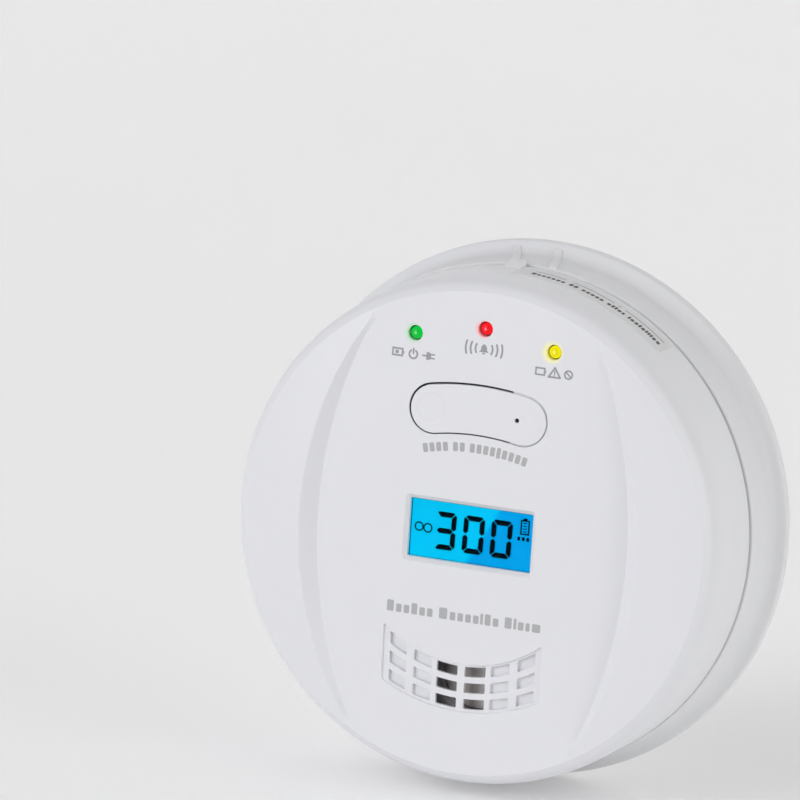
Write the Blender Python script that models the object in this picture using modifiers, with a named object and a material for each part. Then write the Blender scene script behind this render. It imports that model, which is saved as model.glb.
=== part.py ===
"""Carbon monoxide alarm: a round wall alarm on a flared mounting plate.

The parts are modelled in a wall frame: x right, y up, z out of the wall. Its empty stands it upright in
the world, where its z points to -Y and its y to +Z. The origin is the centre of the mounting plate's
back face.
"""

from math import acos, atan2, cos, degrees, pi, radians, sin, sqrt

import bmesh
import bpy
from mathutils import Matrix, Vector

MM = 0.001

# Driving dimensions, in metres.
WEB = 2.2 * MM                 # thickness of the plate's web
SEAM = 16.2 * MM               # rear edge of the front cover
FACE_Z = 38.7 * MM             # plane of the circular edge round the face
FACE_R = 53.86 * MM            # radius of that edge
SIDE_R = 56.5 * MM             # cover's side wall
WALL = 2.2 * MM                # cover's wall
CROWN = 2.1 * MM               # rise of the panel at its centre
ROLL = 0.75 * MM               # how far the panel's edges roll down into the creases
CREASE_X = 36.5 * MM           # half width of the panel between its creases
CREASE_END = (25.5 * MM, 46.9 * MM)
FACET_SLOPE = 0.95             # rise over run of the facets beside the panel
STEPS = 72                     # segments round the big turned parts
FINE = 24                      # segments round the small turned parts
PHASE = radians(7)             # turns small cylinders so that no edge lies on a spoke of a turned part
TWIST_TABS = (30, 150, 270)    # degrees, places of the bayonet and of the housing screws
BOSS_R = 48.0 * MM             # circle of the housing screws
SCREW_HOLE_R = 1.75 * MM       # clearance round a housing screw
THROUGH_FACE = (30 * MM, 45 * MM)    # heights of a cutter that goes through the face
GAP = 0.3 * MM                 # clearance between neighbours that touch
SHARP_ANGLE = radians(35)      # edges over this stay sharp in the smooth shading

# Display window.
WINDOW = (14.5 * MM, 6.55 * MM)      # half sizes of the opening
BEVEL = 0.9 * MM
WINDOW_EDGE_Z = FACE_Z + 0.6 * MM

# Test button: a kidney outline along an arc, free to the left of its hinge line.
BUTTON_Y = 27.95 * MM
BUTTON_ARC = 57.6 * MM
BUTTON_HALF = 5.35 * MM
BUTTON_END_X = 10.6 * MM
BUTTON_SLOT = 0.35 * MM
GROOVE_DEPTH = 0.5 * MM
HINGE_X = 7.6 * MM
PIN_HOLE = (9.15 * MM, 26.9 * MM)
PIN_HOLE_R = 0.5 * MM
PUSHER_R = 1.6 * MM
PUSHER = (-11.5 * MM, 27.3 * MM)
HINGE_Z = FACE_Z + 1.3 * MM

# Grille: three rows of cells in a band between two arcs round the face's centre.
BAND_R = (29.0 * MM, 39.7 * MM)
BAND_X = 18.7 * MM
BAND_DEPTH = 0.5 * MM
ROW_R = (29.5 * MM, 33.15 * MM, 36.8 * MM)
ROW_HEIGHT = 2.25 * MM
CELL_DEPTH = 0.9 * MM
OPEN_COLUMNS = ((3.3 * MM, 2.45 * MM),)                    # centre and half width
BLIND_COLUMNS = ((9.15 * MM, 2.15 * MM), (15.15 * MM, 2.0 * MM))

# Indicators, from left to right.
LEDS = {
    "green": (-16.3 * MM, 42.9 * MM),
    "red": (0.0, 45.9 * MM),
    "yellow": (16.3 * MM, 42.9 * MM),
}
LED_R = 1.5 * MM
LED_HOLE_R = 1.7 * MM
LED_TIP_Z = 39.2 * MM
LED_FLANGE_R = 1.9 * MM
LED_FLANGE_Z = (34.3 * MM, 35.2 * MM)
LED_LEG = (0.75 * MM, 0.25 * MM)     # distance from the middle, and radius

# Circuit board and what stands on it.
BOARD_Z = (23.0 * MM, 24.6 * MM)
ON_BOARD = BOARD_Z[1] + GAP
BOARD_R = 49.3 * MM
BOARD_NOTCH_R = 4.2 * MM             # round each boss of the cover
BOARD_HOLE_R = 1.6 * MM
BOARD_POSTS = ((-33.0 * MM, -20.8 * MM), (33.0 * MM, -20.8 * MM))
BUZZER = (2.8 * MM, -31.1 * MM)
SENSOR = (-21.0 * MM, -29.0 * MM)

# Battery tray.
TRAY = (29.4 * MM, 16.9 * MM)        # half sizes inside
TRAY_WALL = 1.6 * MM
TRAY_ROOF = 20.2 * MM
CELL_R = 7.25 * MM
CELL_LENGTH = 50.5 * MM
CELL_Y = 7.9 * MM
CELL_Z = 12.55 * MM
CELL_NUB_X = 28.3 * MM
CONTACT_X = (28.6 * MM, 29.0 * MM)
CONTACT_Y = (2 * MM, 14 * MM)
CONTACT_Z = (6.5 * MM, 18.5 * MM)

# Materials: colour, roughness, metallic.
FINISHES = {
    "white_shell": ((0.78, 0.78, 0.80), 0.42, 0.0),
    "white_plate": ((0.74, 0.74, 0.75), 0.45, 0.0),
    "dark_plastic": ((0.03, 0.03, 0.035), 0.5, 0.0),
    "clear_window": ((0.75, 0.9, 0.95), 0.08, 0.0),
    "display_blue": ((0.0, 0.55, 0.85), 0.2, 0.0),
    "diffuser": ((0.85, 0.95, 1.0), 0.5, 0.0),
    "board_green": ((0.03, 0.2, 0.08), 0.45, 0.0),
    "led_green": ((0.05, 0.8, 0.1), 0.15, 0.0),
    "led_red": ((0.8, 0.02, 0.02), 0.15, 0.0),
    "led_yellow": ((0.9, 0.85, 0.0), 0.15, 0.0),
    "steel": ((0.6, 0.6, 0.6), 0.3, 1.0),
    "brass": ((0.75, 0.55, 0.2), 0.3, 1.0),
    "cell_jacket": ((0.05, 0.06, 0.07), 0.35, 0.0),
    "wire_red": ((0.6, 0.02, 0.02), 0.5, 0.0),
    "wire_black": ((0.02, 0.02, 0.02), 0.5, 0.0),
    "label": ((0.8, 0.8, 0.8), 0.6, 0.0),
}


# ---------------------------------------------------------------- scene

def clear_scene():
    for obj in list(bpy.data.objects):
        bpy.data.objects.remove(obj, do_unlink=True)


def new_collection(name):
    collection = bpy.data.collections.new(name)
    bpy.context.scene.collection.children.link(collection)
    return collection


clear_scene()
PARTS = new_collection("carbon_monoxide_alarm")
CUTTERS = new_collection("cutters")


def new_empty(name, location, parent=None):
    """An empty at a place given in its parent's frame."""
    empty = bpy.data.objects.new(name, None)
    empty.empty_display_size = 0.01
    empty.location = location
    empty.parent = parent
    PARTS.objects.link(empty)
    return empty


WALL_FRAME = new_empty("wall_frame", (0, 0, 0))
WALL_FRAME.rotation_euler = (pi / 2, 0, 0)
TWIST_AXIS = new_empty("twist_axis", (0, 0, 0), WALL_FRAME)
BUTTON_HINGE = new_empty("button_hinge", (HINGE_X, BUTTON_Y, HINGE_Z), TWIST_AXIS)
PLUNGER_AXIS = new_empty("plunger_axis", (*PUSHER, 0), TWIST_AXIS)


def finish_material(name):
    """The Principled material of a finish, made once."""
    material = bpy.data.materials.get(name)
    if material is None:
        colour, roughness, metallic = FINISHES[name]
        material = bpy.data.materials.new(name)
        material.use_nodes = True
        shader = material.node_tree.nodes["Principled BSDF"]
        shader.inputs["Base Color"].default_value = (*colour, 1.0)
        shader.inputs["Roughness"].default_value = roughness
        shader.inputs["Metallic"].default_value = metallic
    return material


def add_object(name, mesh, collection=CUTTERS):
    obj = bpy.data.objects.new(name, mesh)
    collection.objects.link(obj)
    obj.parent = TWIST_AXIS
    obj.hide_render = True
    obj.display_type = "WIRE"
    return obj


def as_part(obj, name, finish, pivot=TWIST_AXIS):
    """Turn a helper into a named part whose origin is its pivot."""
    if obj.modifiers:
        bpy.context.view_layer.update()
        applied(obj)
    CUTTERS.objects.unlink(obj)
    PARTS.objects.link(obj)
    obj.name = name
    obj.hide_render = False
    obj.display_type = "TEXTURED"
    if not obj.data.materials:
        material = finish_material(finish).copy()
        material.name = name
        obj.data.materials.append(material)
    obj.parent = pivot
    if pivot not in (TWIST_AXIS, WALL_FRAME):
        obj.data.transform(Matrix.Translation(-pivot.location))
    obj.data.shade_smooth()
    obj.data.set_sharp_from_angle(angle=SHARP_ANGLE)
    return obj


# ---------------------------------------------------------------- shapes

def box(name, low, high):
    """A box between two corners."""
    bm = bmesh.new()
    bmesh.ops.create_cube(bm, size=1.0)
    for vert in bm.verts:
        for axis in range(3):
            vert.co[axis] = high[axis] if vert.co[axis] > 0 else low[axis]
    return from_bmesh(name, bm)


def centred_box(name, centre, half, z_range):
    """A box round a point of the board's plane, between two heights."""
    low = (centre[0] - half[0], centre[1] - half[1], z_range[0])
    high = (centre[0] + half[0], centre[1] + half[1], z_range[1])
    return box(name, low, high)


def from_bmesh(name, bm):
    mesh = bpy.data.meshes.new(name)
    bm.to_mesh(mesh)
    bm.free()
    return add_object(name, mesh)


def cylinder(name, centre, radius, z_range, segments=FINE):
    """An upright cylinder round a point of the board's plane."""
    bm = bmesh.new()
    depth = z_range[1] - z_range[0]
    middle = Matrix.Translation((centre[0], centre[1], (z_range[0] + z_range[1]) / 2))
    middle = middle @ Matrix.Rotation(PHASE, 4, "Z")
    bmesh.ops.create_cone(
        bm, cap_ends=True, segments=segments, radius1=radius, radius2=radius, depth=depth, matrix=middle
    )
    return from_bmesh(name, bm)


def turned(name, profile, steps=FINE, centre=(0, 0), closed=False):
    """A turned solid. The profile of (radius, height) points runs down its outer side."""
    edges = [(i, i + 1) for i in range(len(profile) - 1)]
    if closed:
        edges.append((len(profile) - 1, 0))
    mesh = bpy.data.meshes.new(name)
    mesh.from_pydata([(r, 0, z) for r, z in profile], edges, [])
    obj = add_object(name, mesh)
    screw = obj.modifiers.new("turn", "SCREW")
    screw.axis = "Z"
    screw.steps = steps
    screw.render_steps = steps
    screw.use_merge_vertices = True
    screw.merge_threshold = 1e-5
    screw.use_normal_calculate = False
    return applied(obj, centre)


def applied(obj, centre=(0, 0)):
    """Replace an object's modifiers by the mesh they make, moved to a point of the board's plane."""
    graph = bpy.context.evaluated_depsgraph_get()
    mesh = bpy.data.meshes.new_from_object(obj.evaluated_get(graph))
    obj.modifiers.clear()
    mesh.transform(Matrix.Translation((centre[0], centre[1], 0)))
    obj.data = mesh
    return obj


def plate(name, outlines, z_range):
    """A flat plate from closed outlines; an outline inside another is a hole."""
    curve = bpy.data.curves.new(name, "CURVE")
    curve.dimensions = "2D"
    curve.fill_mode = "BOTH"
    curve.extrude = (z_range[1] - z_range[0]) / 2
    for outline in outlines:
        spline = curve.splines.new("POLY")
        spline.points.add(len(outline) - 1)
        for point, (x, y) in zip(spline.points, outline):
            point.co = (x, y, 0, 1)
        spline.use_cyclic_u = True
    obj = mesh_from_curve(name, curve)
    obj.data.transform(Matrix.Translation((0, 0, (z_range[0] + z_range[1]) / 2)))
    return obj


def mesh_from_curve(name, curve):
    """A welded mesh object made from a curve, which is then removed."""
    source = bpy.data.objects.new(name + "_curve", curve)
    CUTTERS.objects.link(source)
    source.parent = TWIST_AXIS
    bpy.context.view_layer.update()
    graph = bpy.context.evaluated_depsgraph_get()
    mesh = bpy.data.meshes.new_from_object(source.evaluated_get(graph))
    obj = add_object(name, mesh)
    obj.matrix_world = source.matrix_world
    bpy.data.objects.remove(source)
    bm = bmesh.new()
    bm.from_mesh(mesh)
    bmesh.ops.remove_doubles(bm, verts=bm.verts, dist=1e-6)
    bmesh.ops.recalc_face_normals(bm, faces=bm.faces)
    bm.to_mesh(mesh)
    bm.free()
    return obj


def tube(name, points, radius):
    """A round wire along a list of points, with closed ends."""
    curve = bpy.data.curves.new(name, "CURVE")
    curve.dimensions = "3D"
    curve.bevel_depth = radius
    curve.bevel_resolution = 2
    curve.use_fill_caps = True
    spline = curve.splines.new("POLY")
    spline.points.add(len(points) - 1)
    for point, co in zip(spline.points, points):
        point.co = (*co, 1)
    return mesh_from_curve(name, curve)


def boolean(obj, other, operation):
    modifier = obj.modifiers.new(other.name, "BOOLEAN")
    modifier.operation = operation
    modifier.solver = "EXACT"
    modifier.object = other
    return obj


def cut(obj, *others):
    for other in others:
        boolean(obj, other, "DIFFERENCE")
    return obj


def join(obj, *others):
    for other in others:
        boolean(obj, other, "UNION")
    return obj


def polar(radius, angle):
    """A point of the board's plane from a radius and an angle in degrees."""
    return (radius * cos(radians(angle)), radius * sin(radians(angle)))


def arc(centre, radius, start, end, count):
    """Points along an arc, angles in degrees."""
    angles = [start + (end - start) * i / (count - 1) for i in range(count)]
    return [(centre[0] + polar(radius, a)[0], centre[1] + polar(radius, a)[1]) for a in angles]


def sector(inner, outer, start, end, count=5):
    """Outline of a piece of a ring about the centre."""
    return arc((0, 0), outer, start, end, count) + arc((0, 0), inner, end, start, count)


def oblong(centre, half_length, half_width, angle):
    """Outline of a round-ended slot."""
    run = half_length - half_width
    outline = arc((run, 0), half_width, -90, 90, 7) + arc((-run, 0), half_width, 90, 270, 7)
    turn = Matrix.Rotation(radians(angle), 2)
    return [tuple(turn @ Vector(point) + Vector(centre)) for point in outline]


def fin(name, profile, width, angle):
    """An upright fin: a (radius, height) outline given a width, turned to an angle in degrees."""
    obj = plate(name, [profile], (-width / 2, width / 2))
    obj.data.transform(Matrix.Rotation(radians(angle), 4, "Z") @ Matrix.Rotation(pi / 2, 4, "X"))
    return obj


def smooth_route(points, count):
    """Points of a smooth curve through the given ones."""
    ends = [points[0] * 2 - points[1]] + points + [points[-1] * 2 - points[-2]]
    route = []
    for i in range(count):
        place = (len(points) - 1) * i / (count - 1)
        k = min(int(place), len(points) - 2)
        t = place - k
        a, b, c, d = ends[k:k + 4]
        tangents = (c - a) * t + (2 * a - 5 * b + 4 * c - d) * t ** 2 + (3 * b - a - 3 * c + d) * t ** 3
        route.append(b + tangents / 2)
    return route


# ---------------------------------------------------------------- mounting plate

# Outer side of the flared skirt, as (radius, height) in mm: a steep wall from its front edge, 15.7 above
# the wall, then a cove, a flange and a thin lip 120 across.
SKIRT = [
    (56.6, 15.7), (56.9, 15.4), (57.0, 10.0), (57.15, 6.6), (57.5, 5.2), (58.2, 4.2),
    (59.0, 3.55), (59.7, 3.05), (60.0, 2.5), (60.0, 0.3), (59.7, 0.0),
]
SKIRT_INSIDE = [(57.3, 2.2), (56.4, 4.0), (55.6, 7.2), (54.9, 12.5), (54.9, 15.7)]
RIB = [
    (56.0, 4.5), (59.1, 3.2), (58.9, 4.0), (58.1, 5.0), (57.65, 6.7), (57.45, 10.0),
    (57.3, 15.0), (56.0, 15.0),
]
RIB_ANGLES = (86.0, 95.5)
RIB_WIDTH = 1.7 * MM
TAB_HALF_ANGLE = 5.0
TAB_R = (53.75 * MM, 56.1 * MM)
TAB_Z = (8.6 * MM, 10.2 * MM)
POCKETS = 6                      # in the plate's back, with webs between them
POCKET_R = (13 * MM, 51 * MM)
POCKET_HALF_ANGLE = 28.7
POCKET_DEPTH = 0.9 * MM
SLOT_HALF = (5 * MM, 1.9 * MM)
SCREW_SLOTS = ((30.0, 0, 90), (30.0, 90, 0), (30.0, 180, 90), (30.0, 270, 0))   # radius, place, turn


def mounting_plate():
    skirt_out = [(r * MM, z * MM) for r, z in SKIRT]
    skirt_in = [(r * MM, z * MM) for r, z in SKIRT_INSIDE]
    body = turned("plate_dish", [(0, WEB)] + skirt_in + skirt_out + [(0, 0)], STEPS)
    for i, angle in enumerate(TWIST_TABS):
        outline = sector(*TAB_R, angle - TAB_HALF_ANGLE, angle + TAB_HALF_ANGLE)
        join(body, plate(f"bayonet_tab_{i}", [outline], TAB_Z))
    rib = [(r * MM, z * MM) for r, z in RIB]
    for i, angle in enumerate(RIB_ANGLES):
        join(body, fin(f"alignment_rib_{i}", rib, RIB_WIDTH, angle))
    for i in range(POCKETS):
        middle = 360 / POCKETS * (i + 1)
        pocket = sector(*POCKET_R, middle - POCKET_HALF_ANGLE, middle + POCKET_HALF_ANGLE, 8)
        cut(body, plate(f"back_pocket_{i}", [pocket], (-1 * MM, POCKET_DEPTH)))
    for i, (radius, place, turn) in enumerate(SCREW_SLOTS):
        slot = oblong(polar(radius * MM, place), *SLOT_HALF, turn)
        cut(body, plate(f"screw_slot_{i}", [slot], (-1 * MM, WEB + 0.8 * MM)))
    return as_part(body, "mounting_plate", "white_plate", WALL_FRAME)


# ---------------------------------------------------------------- front cover

CREASE_C = (CREASE_END[0] ** 2 + CREASE_END[1] ** 2 - CREASE_X ** 2) / (2 * (CREASE_X - CREASE_END[0]))
CREASE_RADIUS = CREASE_C + CREASE_X

# Outer side of the cover from its top inwards edge to its seam: (radius, height above the face's edge).
DOME = [(0, 3.95), (35.0, 3.95), (39.5, 3.4), (42.0, 3.0), (46.0, 2.25), (50.0, 1.25)]
SHOULDER = [(53.86, 0), (55.0, -0.95), (55.75, -2.0), (56.3, -3.8), (56.5, -6.3), (56.5, -22.5)]


# Bosses for the housing screws and posts for the board's screws, and the nub over the seam at the top.
BOSS_HALF = 3.3 * MM
BOSS_Z = (19.4 * MM, 37.6 * MM)
POST_HALF = 2.8 * MM
POST_TOP = 37.4 * MM
POST_HOLE_R = 1.5 * MM
NUB = [(55.5, 16.2), (57.9, 16.2), (57.6, 17.6), (56.4, 20.4), (55.5, 20.4)]
NUB_WIDTH = 2.8 * MM
NUB_ANGLE = 92.3


def crease_x(y):
    """Half width of the panel at a height on the face."""
    return sqrt(CREASE_RADIUS ** 2 - y ** 2) - CREASE_C


def panel_z(x, y):
    """Height of the crowned panel."""
    crown = CROWN * (1 - (x * x + y * y) / FACE_R ** 2)
    roll = ROLL * (x / crease_x(y)) ** 4 * max(0.0, 1 - (y / CREASE_END[1]) ** 2)
    return FACE_Z + crown - roll


def channel_cutter(name, inset):
    """What is above the panel and between its facets; an inset of one wall makes the hollow's."""
    rows, columns, reach, rise = 16, 8, 57 * MM, 8 * MM
    spread = inset * 0.41
    bm = bmesh.new()
    floor, roof = [], []
    for i in range(rows + 1):
        y = reach * (2 * i / rows - 1)
        for j in range(columns + 1):
            s = 2 * j / columns - 1
            x = s * crease_x(y)
            z = panel_z(x, y) - inset
            floor.append(bm.verts.new((x + s * spread, y, z)))
            if j in (0, columns):
                x += s * (spread + rise / FACET_SLOPE)
            else:
                x += s * spread
            roof.append(bm.verts.new((x, y, z + rise)))
    width = columns + 1
    for i in range(rows):
        for j in range(columns):
            a, b = i * width + j, (i + 1) * width + j
            bm.faces.new((floor[a], floor[b], floor[b + 1], floor[a + 1]))
            bm.faces.new((roof[a], roof[a + 1], roof[b + 1], roof[b]))
        for j in (0, columns):
            a, b = i * width + j, (i + 1) * width + j
            bm.faces.new((floor[a], roof[a], roof[b], floor[b]))
    for j in range(columns):
        for a in (j, rows * width + j):
            bm.faces.new((floor[a], floor[a + 1], roof[a + 1], roof[a]))
    bmesh.ops.recalc_face_normals(bm, faces=bm.faces)
    return from_bmesh(name, bm)


def domed_body(name, inset, bottom):
    """The cover's outer form, or its hollow when inset by one wall."""
    profile = []
    for r, h in DOME + SHOULDER:
        profile.append((max(0.0, r * MM - inset), FACE_Z + h * MM - inset))
    profile = [point for i, point in enumerate(profile) if i == 0 or point[0] > 0]
    profile[-1] = (profile[-1][0], bottom)
    body = turned(name, profile + [(0, bottom)], STEPS)
    return cut(body, channel_cutter(name + "_channel", inset))


def kidney(half, x_end=None):
    """The button's outline, of a given half width; with x_end it stops at that straight line."""
    centre = (0, BUTTON_Y - BUTTON_ARC)
    tilt = degrees(atan2(BUTTON_END_X, sqrt(BUTTON_ARC ** 2 - BUTTON_END_X ** 2)))
    left = polar(BUTTON_ARC, 90 + tilt)
    left = (left[0], left[1] + centre[1])
    cap = arc(left, half, 90 + tilt, 270 + tilt, 11)
    if x_end is None:
        right = (-left[0], left[1])
        top = arc(centre, BUTTON_ARC + half, 90 - tilt, 90 + tilt, 9)[1:-1]
        low = arc(centre, BUTTON_ARC - half, 90 + tilt, 90 - tilt, 9)[1:-1]
        return cap + low + arc(right, half, 270 - tilt, 450 - tilt, 11) + top
    outer, inner = BUTTON_ARC + half, BUTTON_ARC - half
    top = arc(centre, outer, degrees(acos(x_end / outer)), 90 + tilt, 8)[:-1]
    low = arc(centre, inner, 90 + tilt, degrees(acos(x_end / inner)), 8)[1:]
    return cap + low + top


def frustum(name, low_half, high_half, z_range):
    """A box whose top is wider than its bottom, centred on the face."""
    bm = bmesh.new()
    bmesh.ops.create_cube(bm, size=1.0)
    for vert in bm.verts:
        high = vert.co.z > 0
        half = high_half if high else low_half
        vert.co.x = half[0] if vert.co.x > 0 else -half[0]
        vert.co.y = half[1] if vert.co.y > 0 else -half[1]
        vert.co.z = z_range[1] if high else z_range[0]
    return from_bmesh(name, bm)


def cell_outline(centre_x, half_x, top_r, bottom_r):
    """A grille cell: upright sides, and ends that follow the arcs round the face's centre."""
    left, right = centre_x - half_x, centre_x + half_x
    corners = ((left, bottom_r), (right, bottom_r), (right, top_r), (left, top_r))
    return [(x, -sqrt(r * r - x * x)) for x, r in corners]


def sunk(name, outlines, depth):
    """A cutter from flat outlines, whose floor follows the panel at a depth below it."""
    cutter = plate(name, outlines, (FACE_Z - 3 * MM, FACE_Z + 4 * MM))
    return boolean(cutter, channel_cutter(name + "_floor", depth), "INTERSECT")


def band_edge(radius, side):
    """Points along one edge of the grille's band; side is +1 for left to right."""
    places = [side * BAND_X * (i / 6 - 1) for i in range(13)]
    return [(x, -sqrt(radius ** 2 - x * x)) for x in places]


def cell_outlines(columns):
    """Outlines of the cells of both sides in every row, from each column's centre and half width."""
    return [
        cell_outline(side * centre_x, half_x, top_r, top_r + ROW_HEIGHT)
        for centre_x, half_x in columns
        for side in (-1, 1)
        for top_r in ROW_R
    ]


def grille_cutters():
    """The band's recess, its blind cells and its open cells."""
    band = band_edge(BAND_R[1], 1) + band_edge(BAND_R[0], -1)
    return [
        sunk("band_recess", [band], BAND_DEPTH),
        sunk("blind_cells", cell_outlines(BLIND_COLUMNS), BAND_DEPTH + CELL_DEPTH),
        plate("open_cells", cell_outlines(OPEN_COLUMNS), (FACE_Z - 4 * MM, FACE_Z + 4 * MM)),
    ]


def front_cover():
    body = domed_body("cover_body", 0, SEAM)
    cut(body, domed_body("cover_hollow", WALL, SEAM - 4 * MM))
    for i, angle in enumerate(TWIST_TABS):
        place = polar(BOSS_R, angle)
        join(body, cylinder(f"boss_{i}", place, BOSS_HALF, BOSS_Z, 16))
        cut(body, cylinder(f"boss_hole_{i}", place, SCREW_HOLE_R, (18 * MM, 32 * MM), 12))
    for i, place in enumerate(BOARD_POSTS):
        join(body, cylinder(f"post_{i}", place, POST_HALF, (ON_BOARD, POST_TOP), 16))
        cut(body, cylinder(f"post_hole_{i}", place, POST_HOLE_R, (ON_BOARD - 1 * MM, 33 * MM), 12))
    top = 3 * MM
    slope = BEVEL / (1.5 * MM)
    widest = [half + slope * top for half in WINDOW]
    cut(body, frustum("window_bevel", WINDOW, widest, (WINDOW_EDGE_Z, WINDOW_EDGE_Z + top)))
    cut(body, centred_box("window_opening", (0, 0), WINDOW, (FACE_Z - 6 * MM, FACE_Z + 2 * MM)))
    cut(body, *grille_cutters())
    for colour, place in LEDS.items():
        cut(body, cylinder(f"led_hole_{colour}", place, LED_HOLE_R, THROUGH_FACE, 20))
    groove = [kidney(BUTTON_HALF + BUTTON_SLOT), kidney(BUTTON_HALF)]
    cut(body, sunk("button_groove", groove, GROOVE_DEPTH))
    hole = kidney(BUTTON_HALF + BUTTON_SLOT, HINGE_X + BUTTON_SLOT / 2)
    cut(body, plate("button_hole", [hole], (FACE_Z - 5 * MM, FACE_Z + 6 * MM)))
    cut(body, cylinder("pin_hole", PIN_HOLE, PIN_HOLE_R, THROUGH_FACE, 10))
    join(body, fin("alignment_nub", [(r * MM, z * MM) for r, z in NUB], NUB_WIDTH, NUB_ANGLE))
    return as_part(body, "front_cover", "white_shell")


def test_button():
    flap = kidney(BUTTON_HALF, HINGE_X - BUTTON_SLOT / 2)
    body = plate("button_flap", [flap], (FACE_Z - 0.5 * MM, FACE_Z + 4 * MM))
    cut(body, channel_cutter("button_top", 0))
    join(body, cylinder("button_pusher", PUSHER, PUSHER_R, (31.3 * MM, FACE_Z), 16))
    return as_part(body, "test_button", "white_shell", BUTTON_HINGE)


# ---------------------------------------------------------------- rear housing and battery

HOUSING = [(0, 5.0), (51.4, 5.0), (51.4, 19.0), (53.4, 19.0), (53.4, 4.2), (52.4, 3.0), (0, 3.0)]
TUBE_R = 4.0 * MM
TUBE_Z = (4 * MM, 18.6 * MM)
COUNTERBORE_R = 3.2 * MM
LUG_R = (52.5 * MM, 54.5 * MM)
LUG_Z = (6.2 * MM, 8.2 * MM)
DOOR_HOOK_X = 18 * MM


def rear_housing():
    body = turned("housing_shell", [(r * MM, z * MM) for r, z in HOUSING], STEPS)
    outer = (TRAY[0] + TRAY_WALL, TRAY[1] + TRAY_WALL)
    join(body, centred_box("tray_outside", (0, 0), outer, (4 * MM, TRAY_ROOF + TRAY_WALL)))
    for i, angle in enumerate(TWIST_TABS):
        place = polar(BOSS_R, angle)
        join(body, cylinder(f"screw_tube_{i}", place, TUBE_R, TUBE_Z, 20))
        cut(body, cylinder(f"screw_bore_{i}", place, SCREW_HOLE_R, (2 * MM, 20 * MM), 12))
        cut(body, cylinder(f"screw_counterbore_{i}", place, COUNTERBORE_R, (2 * MM, 9 * MM), 16))
        lug = sector(*LUG_R, angle - TAB_HALF_ANGLE, angle + TAB_HALF_ANGLE)
        join(body, plate(f"bayonet_lug_{i}", [lug], LUG_Z))
    cut(body, centred_box("tray_inside", (0, 0), TRAY, (2 * MM, TRAY_ROOF)))
    for side in (-1, 1):
        where = (-TRAY[0] - TRAY_WALL / 2, side * CELL_Y)
        cut(body, centred_box(f"tab_slot_{side}", where, (1.2 * MM, 1.6 * MM), (11.4 * MM, 14.6 * MM)))
    for side in (-1, 1):
        slot = (side * DOOR_HOOK_X, -TRAY[1] - 0.6 * MM)
        cut(body, centred_box(f"door_slot_{side}", slot, (3.4 * MM, 1.0 * MM), (3.5 * MM, 4.9 * MM)))
    return as_part(body, "rear_housing", "white_shell")


def battery_door():
    half = (TRAY[0] - 0.4 * MM, TRAY[1] - 0.4 * MM)
    body = centred_box("door_panel", (0, 0), half, (3.1 * MM, 5.0 * MM))
    for side in (-1, 1):
        lip = (side * DOOR_HOOK_X, -TRAY[1])
        join(body, centred_box(f"door_lip_{side}", lip, (3 * MM, 1.0 * MM), (3.8 * MM, 4.6 * MM)))
    latch = (0, half[1] - 0.5 * MM)
    join(body, centred_box("door_latch", latch, (4 * MM, 0.45 * MM), (4 * MM, 9.5 * MM)))
    for i in range(5):
        place = (0, (9 - 1.4 * i) * MM)
        cut(body, centred_box(f"door_grip_{i}", place, (7 * MM, 0.35 * MM), (2 * MM, 3.5 * MM)))
    return as_part(body, "battery_door", "white_shell")


def battery_cell(name, side):
    """An AA cell along x; side is +1 where its positive nub points right."""
    r = CELL_R
    profile = [
        (0, CELL_LENGTH), (2.6 * MM, CELL_LENGTH), (2.75 * MM, CELL_LENGTH - 0.2 * MM),
        (2.75 * MM, 49.2 * MM), (r - 0.9 * MM, 49.0 * MM), (r, 48.4 * MM), (r, 0.7 * MM),
        (r - 0.7 * MM, 0), (0, 0),
    ]
    body = turned(name, profile, 28)
    place = Vector((side * (CELL_NUB_X - CELL_LENGTH), side * CELL_Y, CELL_Z))
    body.data.transform(Matrix.Translation(place) @ Matrix.Rotation(side * pi / 2, 4, "Y"))
    return as_part(body, name, "cell_jacket")


def battery_spring(name, side):
    """The coil against a cell's flat end."""
    start = side * (CONTACT_X[0] - GAP - 0.4 * MM)
    end = side * (CELL_LENGTH - CELL_NUB_X + GAP + 0.4 * MM)
    turns, per_turn = 3, 10
    points = []
    for i in range(turns * per_turn + 1):
        t = i / (turns * per_turn)
        radius = (4.4 - 1.4 * t) * MM
        y, z = polar(radius, 360 * turns * t)
        points.append((start + (end - start) * t, y - side * CELL_Y, z + CELL_Z))
    return as_part(tube(name, points, 0.35 * MM), name, "steel")


def link_contact():
    low = (CONTACT_X[0], -CONTACT_Y[1], CONTACT_Z[0])
    high = (CONTACT_X[1], CONTACT_Y[1], CONTACT_Z[1])
    return as_part(box("link_contact", low, high), "link_contact", "steel")


def terminal(name, side):
    low_y, high_y = sorted(side * y for y in CONTACT_Y)
    body = box(name, (-CONTACT_X[1], low_y, CONTACT_Z[0]), (-CONTACT_X[0], high_y, CONTACT_Z[1]))
    low = (-TRAY[0] - TRAY_WALL - 1.6 * MM, side * CELL_Y - 1 * MM, 12 * MM)
    high = (-CONTACT_X[0] - 0.1 * MM, side * CELL_Y + 1 * MM, 14 * MM)
    join(body, box(name + "_tab", low, high))
    return as_part(body, name, "steel")


def battery_wire(name, side, finish):
    """A lead from a terminal's tab, round the tray and up to the board's underside."""
    start = -TRAY[0] - TRAY_WALL - 1.6 * MM - GAP
    y = side * CELL_Y
    along = [
        Vector((start, y, 13 * MM)),
        Vector((start - 2.2 * MM, y + side * 0.4 * MM, 13.6 * MM)),
        Vector((start - 3.6 * MM, y + side * 1.0 * MM, 16.5 * MM)),
        Vector((start - 3.2 * MM, y + side * 1.5 * MM, 20.0 * MM)),
        Vector((start - 3.0 * MM, y + side * 1.5 * MM, BOARD_Z[0] - GAP)),
    ]
    return as_part(tube(name, smooth_route(along, 15), 0.6 * MM), name, finish)


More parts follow.
